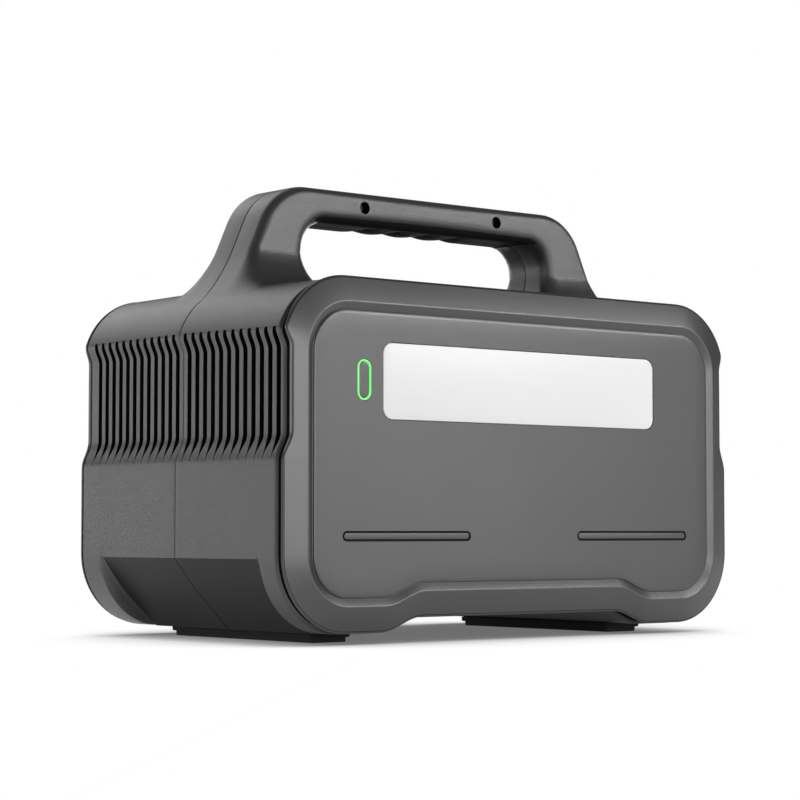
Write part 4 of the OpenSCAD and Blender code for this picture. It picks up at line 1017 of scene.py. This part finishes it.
def cover_skin(bm, c, k, face_in):
    """Rim, ridge, groove and rounded border of a cover; returns the loop round its flat face."""
    slope = (k.ridge - k.edge) / (k.ridge_in - k.inset)
    lip = [(8.0, k.back, 0.0), (k.inset + 0.6, k.back, 0.0), (k.inset + 0.15, k.back + 0.15, 0.0),
           (k.inset, k.back + 0.45, 0.0), (k.inset + 0.1, k.edge - 0.35, slope),
           (k.inset + 0.45, k.edge + 0.02, slope), (k.inset + 1.1, k.edge + 0.28, slope)]
    rings = []
    for inset, out, lift in lip:
        rings.append([(x, -out - lift * share * c.waist_depth, z)
                      for x, z, share in whole(case_half(c, inset))])
    border = k.groove_in + 0.5
    inner = [(k.ridge_in - 0.9, k.ridge - 0.2), (k.ridge_in - 0.4, k.ridge - 0.05),
             (k.ridge_in, k.ridge), (k.ridge_in + 0.4, k.ridge - 0.12),
             (k.groove_in - 0.3, k.groove + 0.12), (k.groove_in, k.groove),
             (k.groove_in + 0.25, k.groove + 0.08), (border, k.face - 0.45)]
    for share in BORDER_STEPS:
        rise = 1 - (1 - share) ** BORDER_ROUND
        inner.append((lerp(border, face_in, share), lerp(k.face - 0.3, k.face, rise)))
    inner.append((face_in + 1.0, k.face))
    for inset, out in inner:
        rings.append([(x, -out, z) for x, z, _ in whole(case_half(c, inset, 0.0))])
    return loft(bm, rings)[1]


def flat_face(bm, border, openings, level):
    """Fills the flat space between a border and the openings inside it. Each opening is an outline,
    the depth of its wall and whether it has a floor, and it has a broken edge."""
    edges = list(border)
    for outline, deep, closed in openings:
        # The wall and floor of each opening take the second finish, painted shade
        edges += plug(bm, outline, -level, SEAT_EDGE + [(0, deep)], caps=(False, closed),
                      painted=(3, 4))[0]
    bmesh.ops.triangle_fill(bm, use_beauty=True, use_dissolve=False, edges=edges,
                            normal=(0, -1, 0))
    if any(len(edge.link_faces) != 2 for edge in edges):
        raise RuntimeError("An opening lies outside its flat face")


def cover(context, name, node, openings, rear):
    """A cover with its openings."""
    c, k = sizes(context, "case"), sizes(context, "cover")
    bm = bmesh.new()
    border = cover_skin(bm, c, k, k.outlet_face_in if rear else k.face_in)
    flat_face(bm, border, openings, k.face)
    finishes = ("cover_plastic", "groove_plastic")
    thicken(piece(context, name, bm, finishes, (node,), rear=rear), k.wall)


def lamp_bar(m, grow=0.0):
    return bar_outline(0, m.level, m.width + 2 * grow, m.height + 2 * grow, m.radius + grow)


def button_bar(m, grow=0.0):
    return bar_outline(-m.button_x, m.level, m.ring_width + 2 * grow, m.ring_height + 2 * grow,
                       m.ring_width / 2 + grow)


def strip_bars(k, gap=0.0):
    high = k.strip_height - 2 * gap
    for side in (-1, 1):
        yield bar_outline(side * k.strip_x, k.strip_z, k.strip_length - 2 * gap, high, high / 2)


class MakeLampCover(bpy.types.Operator):
    """Cover on the lamp end with its window, button opening and strip seats"""

    bl_idname = "power_station.lamp_cover"
    bl_label = "Lamp cover"

    def execute(self, context):
        k, m = sizes(context, "cover"), sizes(context, "lamp")
        openings = [(lamp_bar(m, m.lens_fit), WINDOW_DEEP, False),
                    (button_bar(m, m.ring_fit), WINDOW_DEEP, False)]
        openings += [(outline, STRIP_DEEP, True) for outline in strip_bars(k)]
        cover(context, "lamp_cover", "front_cover", openings, False)
        return {"FINISHED"}


class MakeTrimStrips(bpy.types.Operator):
    """Two round-ended strips in their seats"""

    bl_idname = "power_station.trim_strips"
    bl_label = "Trim strips"

    def execute(self, context):
        k = sizes(context, "cover")
        bm = bmesh.new()
        for outline in strip_bars(k, k.strip_gap):
            plug(bm, outline, -k.face, STRIP)
        piece(context, "trim_bars", bm, ("strip_plastic",), ("trim_strips",))
        return {"FINISHED"}


def key_cap(bm, outline, front, deep, stem, stem_ends):
    """A key with a flange behind the cover, a soft edge in front and a stem."""
    flange = [(inset, deep + depth) for inset, depth in KEY_FLANGE]
    plug(bm, outline, front, flange + KEY_EDGE)
    plug(bm, stem, front, [(0, depth) for depth in stem_ends])


class MakeLamp(bpy.types.Operator):
    """Lens, light ring and button of the lamp"""

    bl_idname = "power_station.lamp"
    bl_label = "Lamp"

    def execute(self, context):
        front, m = -sizes(context, "cover").face, sizes(context, "lamp")
        bm = bmesh.new()
        plug(bm, lamp_bar(m), front, LENS)
        piece(context, "lamp_window", bm, ("lens_white",), ("lamp_lens",))
        bm = bmesh.new()
        inner_edge = [(m.band - inset, depth) for inset, depth in reversed(RING_EDGE)]
        plug(bm, button_bar(m), front - RING_PROUD, RING_EDGE + inner_edge + RING_EDGE[:1],
             caps=(False, False))
        piece(context, "lamp_ring", bm, ("ring_green",), ("lamp_button_ring",))
        bm = bmesh.new()
        key_cap(bm, button_bar(m, -m.band - m.button_fit), front + BUTTON_SUNK, LAMP_CAP_DEEP,
                disc_outline(-m.button_x, m.level, STEM), LAMP_STEM)
        piece(context, "lamp_push", bm, ("cover_plastic",), ("lamp_button",),
              "lamp_button")
        return {"FINISHED"}


# Feet

class MakeFeet(bpy.types.Operator):
    """Two rubber rails, each a pad on a wider base"""

    bl_idname = "power_station.feet"
    bl_label = "Feet"

    def execute(self, context):
        for node in ("left_foot", "right_foot"):
            low, high = (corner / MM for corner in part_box(node))
            bm = bmesh.new()
            base = bar_outline((low.x + high.x) / 2, 0, high.x - low.x, high.y - low.y, 2.0)
            plug(bm, base, 0.0, [(0, high.z)] + FOOT, axis="Z")
            piece(context, node + "_rail", bm, ("foot_rubber",), (node,))
        return {"FINISHED"}


# Outlets

MAINS = [(0, 28), (0, 0.5), (0.15, 0.18), (0.5, 0), (2.0, 0), (2.3, 0.08), (2.6, 0.5), (3.0, 0.6)]
MAINS_SUNK, BLADE_DEEP, BLADE_CORNER = 0.6, 9.0, 0.3
CENTRE_PIN = [(0, 38.5), (0, 35.5), (0.6, 34.8), (2.2, 34.4)]
CENTRE_PIN_WIDTH = 8.0
ROUND_BACK, ROUND_DEEP = 44, 38
JACK_BACK, JACK_DEEP = 17, 9.5
WIDE_PORT = [(0, 17), (0, 0.25), (0.08, 0.08), (0.25, 0), (0.6, 0), (0.62, 0.15), (0.95, 0.15),
             (0.98, 11)]
WIDE_TONGUE = [(0, 11), (0, 1.2), (0.1, 1.05), (0.25, 1.0)]
WIDE_CORNER = 0.5
WIDE_TONGUE_UP, WIDE_TONGUE_SIZE = 1.0, (11.4, 1.7, 0.2)
CONTACT = [(0, 10.5), (0, 2.0), (0.08, 1.8)]
CONTACTS = (-3.6, -1.2, 1.2, 3.6)
CONTACT_UP, CONTACT_SIZE = 0.12, (1.1, 0.3, 0.1)
SLIM_PORT = [(0, 17), (0, 0.25), (0.08, 0.08), (0.25, 0), (0.65, 0), (0.67, 0.12), (1.0, 0.12),
             (1.03, 11)]
SLIM_TONGUE = [(0, 11), (0, 1.2), (0.1, 1.05), (0.2, 1.0)]
SLIM_TONGUE_SIZE = (6.5, 0.75, 0.3)
DISPLAY = [(-1.3, 4.1), (-1.3, 3.3), (0, 3.3), (0, 0.4), (0.12, 0.12), (0.45, 0), (3.2, 0)]
DISPLAY_CORNER = 3.0
KEY_STEM = (14.8, 4.0)


def outlet_sizes(context):
    """The front of a cover's face and the sizes of the outlets."""
    return -sizes(context, "cover").face, sizes(context, "outlets")


def bars(count, x, pitch, z, width, height, radius, grow):
    """Place and outline of each bar of a row."""
    for i in range(count):
        at = x + i * pitch
        yield at, bar_outline(at, z, width + 2 * grow, height + 2 * grow, radius + grow)


def mains_bars(o, grow=0.0):
    return bars(2, o.mains_x, o.mains_pitch, o.level, o.mains, o.mains, o.mains_corner, grow)


def wide_bars(o, grow=0.0):
    return bars(2, o.wide_x, o.wide_pitch, o.port_level, o.wide_width, o.wide_height, WIDE_CORNER,
                grow)


def slim_bars(o, grow=0.0):
    return bars(2, o.slim_x, o.slim_pitch, o.port_level, o.slim_width, o.slim_height,
                o.slim_height / 2, grow)


def key_bars(o, grow=0.0):
    return bars(3, o.key_x, o.key_pitch, o.key_level, o.key_width, o.key_height, o.key_height / 2,
                grow)


def display_bars(o, grow=0.0):
    return bars(1, o.display_x, 0.0, o.display_level, o.display_width, o.display_height,
                DISPLAY_CORNER, grow)


def jack_levels(o):
    return [o.jack_high - i * o.jack_pitch for i in range(3)]


class MakeOutletCover(bpy.types.Operator):
    """Cover on the outlet end with an opening for each outlet, key and the display"""

    bl_idname = "power_station.outlet_cover"
    bl_label = "Outlet cover"

    def execute(self, context):
        o = sizes(context, "outlets")
        rows = [*mains_bars(o, o.fit), *wide_bars(o, o.fit), *slim_bars(o, o.fit),
                *key_bars(o, o.key_fit), *display_bars(o, o.fit)]
        places = [outline for _, outline in rows]
        places.append(disc_outline(o.round_x, o.level, o.round_width + 2 * o.fit))
        places += [disc_outline(o.jack_x, z, o.jack + 2 * o.fit) for z in jack_levels(o)]
        openings = [(outline, OUTLET_DEEP, False) for outline in places]
        cover(context, "outlet_cover", "rear_cover", openings, True)
        return {"FINISHED"}


def outlet(context, name, bm, inside, node):
    """A moulded outlet with a second finish inside it."""
    piece(context, name, bm, ("socket_black", inside), (node,), rear=True)


class MakeMainsSockets(bpy.types.Operator):
    """Two mains sockets with blade slots and an earth hole"""

    bl_idname = "power_station.mains_sockets"
    bl_label = "Mains sockets"

    def execute(self, context):
        front, o = outlet_sizes(context)
        bm = bmesh.new()
        for x, outline in mains_bars(o):
            border = plug(bm, outline, front, MAINS, caps=(True, False))[1]
            slots = [bar_outline(x + side * o.blade_x, o.level + o.blade_up, o.blade_width,
                                 o.blade_height, BLADE_CORNER) for side in (-1, 1)]
            slots.append(disc_outline(x, o.level - o.earth_down, o.earth))
            flat_face(bm, border, [(slot, BLADE_DEEP, True) for slot in slots], -front - MAINS_SUNK)
        # Inside the blade slots and the earth hole the second finish is painted shade
        outlet(context, "mains_sockets", bm, "groove_plastic", "ac_sockets")
        return {"FINISHED"}


def bored(bm, x, z, width, bore, front, back, deep):
    """A round outlet with a soft mouth and a lined bore."""
    wall = (width - bore) / 2
    steps = [(0, back), (0, 0.35), (0.12, 0.12), (0.4, 0), (wall - 0.55, 0), (wall - 0.2, 0.12),
             (wall, 0.5), (wall, 1.4), (wall + 0.15, 1.5), (wall + 0.15, deep)]
    plug(bm, disc_outline(x, z, width), front, steps, painted=(8,))


class MakeRoundOutlets(bpy.types.Operator):
    """Round socket, two jacks and the charging inlet"""

    bl_idname = "power_station.round_outlets"
    bl_label = "Round outlets"

    def execute(self, context):
        front, o = outlet_sizes(context)
        bm = bmesh.new()
        bored(bm, o.round_x, o.level, o.round_width, o.round_bore, front, ROUND_BACK,
              ROUND_DEEP)
        plug(bm, disc_outline(o.round_x, o.level, CENTRE_PIN_WIDTH), front, CENTRE_PIN,
             painted=range(4))
        outlet(context, "round_socket", bm, "terminal_metal", "car_socket")
        levels = jack_levels(o)
        jacks = (("jacks", "dc_ports", levels[:2], o.jack_bore, o.jack_pin),
                 ("charge_inlet", "dc_input", levels[2:], o.inlet_bore, o.inlet_pin))
        for name, node, places, bore, pin in jacks:
            steps = [(0, 9.6), (0, 1.6), (pin * 0.15, 1.2), (pin * 0.35, 1.05)]
            bm = bmesh.new()
            for z in places:
                bored(bm, o.jack_x, z, o.jack, bore, front, JACK_BACK, JACK_DEEP)
                plug(bm, disc_outline(o.jack_x, z, pin), front, steps, painted=range(4))
            outlet(context, name, bm, "terminal_metal", node)
        return {"FINISHED"}


class MakePorts(bpy.types.Operator):
    """Two wide and two slim ports with their tongues and contacts"""

    bl_idname = "power_station.ports"
    bl_label = "Ports"

    def execute(self, context):
        front, o = outlet_sizes(context)
        z = o.port_level
        bm = bmesh.new()
        for x, outline in wide_bars(o):
            plug(bm, outline, front, WIDE_PORT, painted=(5, 6))
            plug(bm, bar_outline(x, z + WIDE_TONGUE_UP, *WIDE_TONGUE_SIZE), front, WIDE_TONGUE)
            for lead in CONTACTS:
                contact = bar_outline(x + lead, z + CONTACT_UP, *CONTACT_SIZE)
                plug(bm, contact, front, CONTACT, painted=range(3))
        outlet(context, "wide_ports", bm, "terminal_metal", "usb_a_ports")
        bm = bmesh.new()
        for x, outline in slim_bars(o):
            plug(bm, outline, front, SLIM_PORT, painted=(5, 6))
            plug(bm, bar_outline(x, z, *SLIM_TONGUE_SIZE), front, SLIM_TONGUE)
        outlet(context, "slim_ports", bm, "terminal_metal", "usb_c_ports")
        return {"FINISHED"}


class MakeDisplay(bpy.types.Operator):
    """Glass of the display, with the dark panel behind it"""

    bl_idname = "power_station.display"
    bl_label = "Display"

    def execute(self, context):
        front, o = outlet_sizes(context)
        bm = bmesh.new()
        for _, outline in display_bars(o):
            plug(bm, outline, front, DISPLAY, painted=(6,))
        piece(context, "display_glass", bm, ("display_glass", "display_screen"),
              ("display_window",), rear=True)
        return {"FINISHED"}


class MakeKeys(bpy.types.Operator):
    """Three keys on the outlet end"""

    bl_idname = "power_station.keys"
    bl_label = "Keys"

    def execute(self, context):
        front, o = outlet_sizes(context)
        for node, (x, outline) in zip(("dc_key", "usb_key", "ac_key"), key_bars(o)):
            bm = bmesh.new()
            stem = disc_outline(x, o.key_level, STEM)
            key_cap(bm, outline, front, OUTLET_DEEP, stem, KEY_STEM)
            piece(context, node + "_cap", bm, ("cover_plastic",), (node,), node,
                  rear=True)
        return {"FINISHED"}


class DressCore(bpy.types.Operator):
    """Finish of every solid that keeps its own shape"""

    bl_idname = "power_station.core"
    bl_label = "Inner parts"

    def execute(self, context):
        for part in frame["record"]["subparts"]:
            solid = frame["nodes"][part["node"]]
            if solid.hide_render:
                continue
            solid.data.materials.clear()
            solid.data.materials.append(finish(context, part["material_slot"]))
        return {"FINISHED"}


# Stage

WHITE = (1.0, 1.0, 1.0, 1.0)
SKY_LIGHT = 0.15
FLOOR_HALF = 60.0
LAMP_DISTANCE = 1.5
LAMP_AIM = Vector((0.0, 0.0, 0.1))
# Name, azimuth from the front of the lamp end, elevation, size and power
SOFTBOXES = (
    ("front_softbox", -4, 5.5, (0.9, 0.4), 6.9),
    ("right_softbox", 34, 1.0, (0.55, 0.22), 1.45),
    ("high_softbox", 37, 20, (0.8, 0.2), 7.6),
    ("left_softbox", -140, 4.5, (1.0, 0.3), 2.1),
    ("side_softbox", -88, 8, (0.7, 0.6), 4),
    ("far_side_softbox", 128, 8, (0.8, 0.6), 3),
    ("outlet_softbox", 160, 4, (1.3, 0.4), 6),
    ("back_softbox", -170, 42, (1.4, 1.1), 6.6),
)
CAMERA_PLACE = (-0.8094, -0.9665, 0.0542)
CAMERA_TURN = (math.radians(93.188), 0.0, math.radians(-39.695))
CAMERA_LENS, CAMERA_SENSOR = 105.98, 36.0


def floor_finish():
    """White floor with a painted soft shadow: to the camera and in reflections its colour darkens
    with ambient occlusion near the object.
    """
    f = Finish(bpy.data.materials.new("studio_floor"))
    camera, glossy, through = (f.node("LightPath", output=f"Is {ray} Ray")
                               for ray in ("Camera", "Glossy", "Transmission"))
    wide, near = (f.node("AmbientOcclusion", {"Distance": reach}, "AO", samples=16)
                  for reach in (0.16, 0.03))
    # Painted shadow: the tone falls from white to dark grey where the object occludes the floor
    light = f.band(wide ** 1.2 * (0.5 + 0.5 * near), 0.0, 0.66)
    tone = f.blend(light, (0.15, 0.15, 0.15), WHITE)
    shown = f.node("Emission", {"Color": tone, "Strength": 1.0})
    cast = f.node("BsdfDiffuse", {"Color": (0.55, 0.55, 0.55, 1.0)})
    picked = f.node("MixShader", {0: camera + glossy + through, 1: cast, 2: shown})
    f.node("OutputMaterial", {"Surface": picked})
    return f.owner


def studio_sky():
    """Sky that is white to the camera and gives a dim light."""
    f = Finish(bpy.data.worlds.new("studio_sky"))
    dim, white = (f.node("Background", {"Color": WHITE, "Strength": strength})
                  for strength in (SKY_LIGHT, 1.0))
    camera = f.node("LightPath", output="Is Camera Ray")
    f.node("OutputWorld", {"Surface": f.node("MixShader", {0: camera, 1: dim, 2: white})})
    return f.owner


def softbox(scene, name, azimuth, elevation, size, power):
    """Area lamp that looks at the object."""
    a, e = math.radians(azimuth), math.radians(elevation)
    away = Vector((math.sin(a) * math.cos(e), -math.cos(a) * math.cos(e), math.sin(e)))
    data = bpy.data.lights.new(name, "AREA")
    data.shape = "RECTANGLE"
    data.size, data.size_y = size
    data.energy = power
    lamp = bpy.data.objects.new(name, data)
    lamp.location = LAMP_AIM + away * LAMP_DISTANCE
    lamp.rotation_euler = away.to_track_quat("Z", "Y").to_euler()
    scene.collection.objects.link(lamp)


class SetStage(bpy.types.Operator):
    """Floor, soft lamps, sky and camera"""

    bl_idname = "power_station.stage"
    bl_label = "Stage"

    def execute(self, context):
        scene = context.scene
        bm = bmesh.new()
        bmesh.ops.create_grid(bm, x_segments=1, y_segments=1, size=FLOOR_HALF)
        floor = new_object(context, "studio_floor", bm)
        floor.data.materials.append(floor_finish())
        for row in SOFTBOXES:
            softbox(scene, *row)
        scene.world = studio_sky()
        eye = bpy.data.cameras.new("photo_view")
        eye.sensor_width = CAMERA_SENSOR
        eye.lens = CAMERA_LENS
        camera = bpy.data.objects.new("photo_view", eye)
        camera.location = CAMERA_PLACE
        camera.rotation_euler = CAMERA_TURN
        scene.collection.objects.link(camera)
        scene.camera = camera
        scene.view_settings.view_transform = "Standard"
        return {"FINISHED"}


OPERATORS = (MakeShells, MakeFilters, MakeHandle, MakeLampCover, MakeTrimStrips, MakeLamp, MakeFeet,
             MakeOutletCover, MakeMainsSockets, MakeRoundOutlets, MakePorts, MakeDisplay, MakeKeys,
             DressCore, SetStage)


class PowerStationPanel(bpy.types.Panel):
    """Sizes, colours and makers of the power station"""

    bl_idname = "VIEW3D_PT_power_station"
    bl_label = "Power Station"
    bl_space_type = "VIEW_3D"
    bl_region_type = "UI"
    bl_category = "Power Station"

    def draw(self, context):
        for key in GROUPS:
            box = self.layout.box()
            box.label(text=key.capitalize())
            group, own = group_values(context, key)
            for prop in own:
                box.prop(group, prop.identifier)
        for operator in OPERATORS:
            self.layout.operator(operator.bl_idname)


def register():
    for key, group in GROUPS.items():
        bpy.utils.register_class(group)
        setattr(bpy.types.Scene, group_name(key), PointerProperty(type=group))
    for item in OPERATORS + (PowerStationPanel,):
        bpy.utils.register_class(item)


def unregister():
    for item in (PowerStationPanel,) + tuple(reversed(OPERATORS)):
        bpy.utils.unregister_class(item)
    for key, group in GROUPS.items():
        delattr(bpy.types.Scene, group_name(key))
        bpy.utils.unregister_class(group)


def main():
    register()
    for operator in OPERATORS:
        getattr(bpy.ops.power_station, operator.bl_idname.split(".")[1])()


if __name__ == "__main__":
    main()
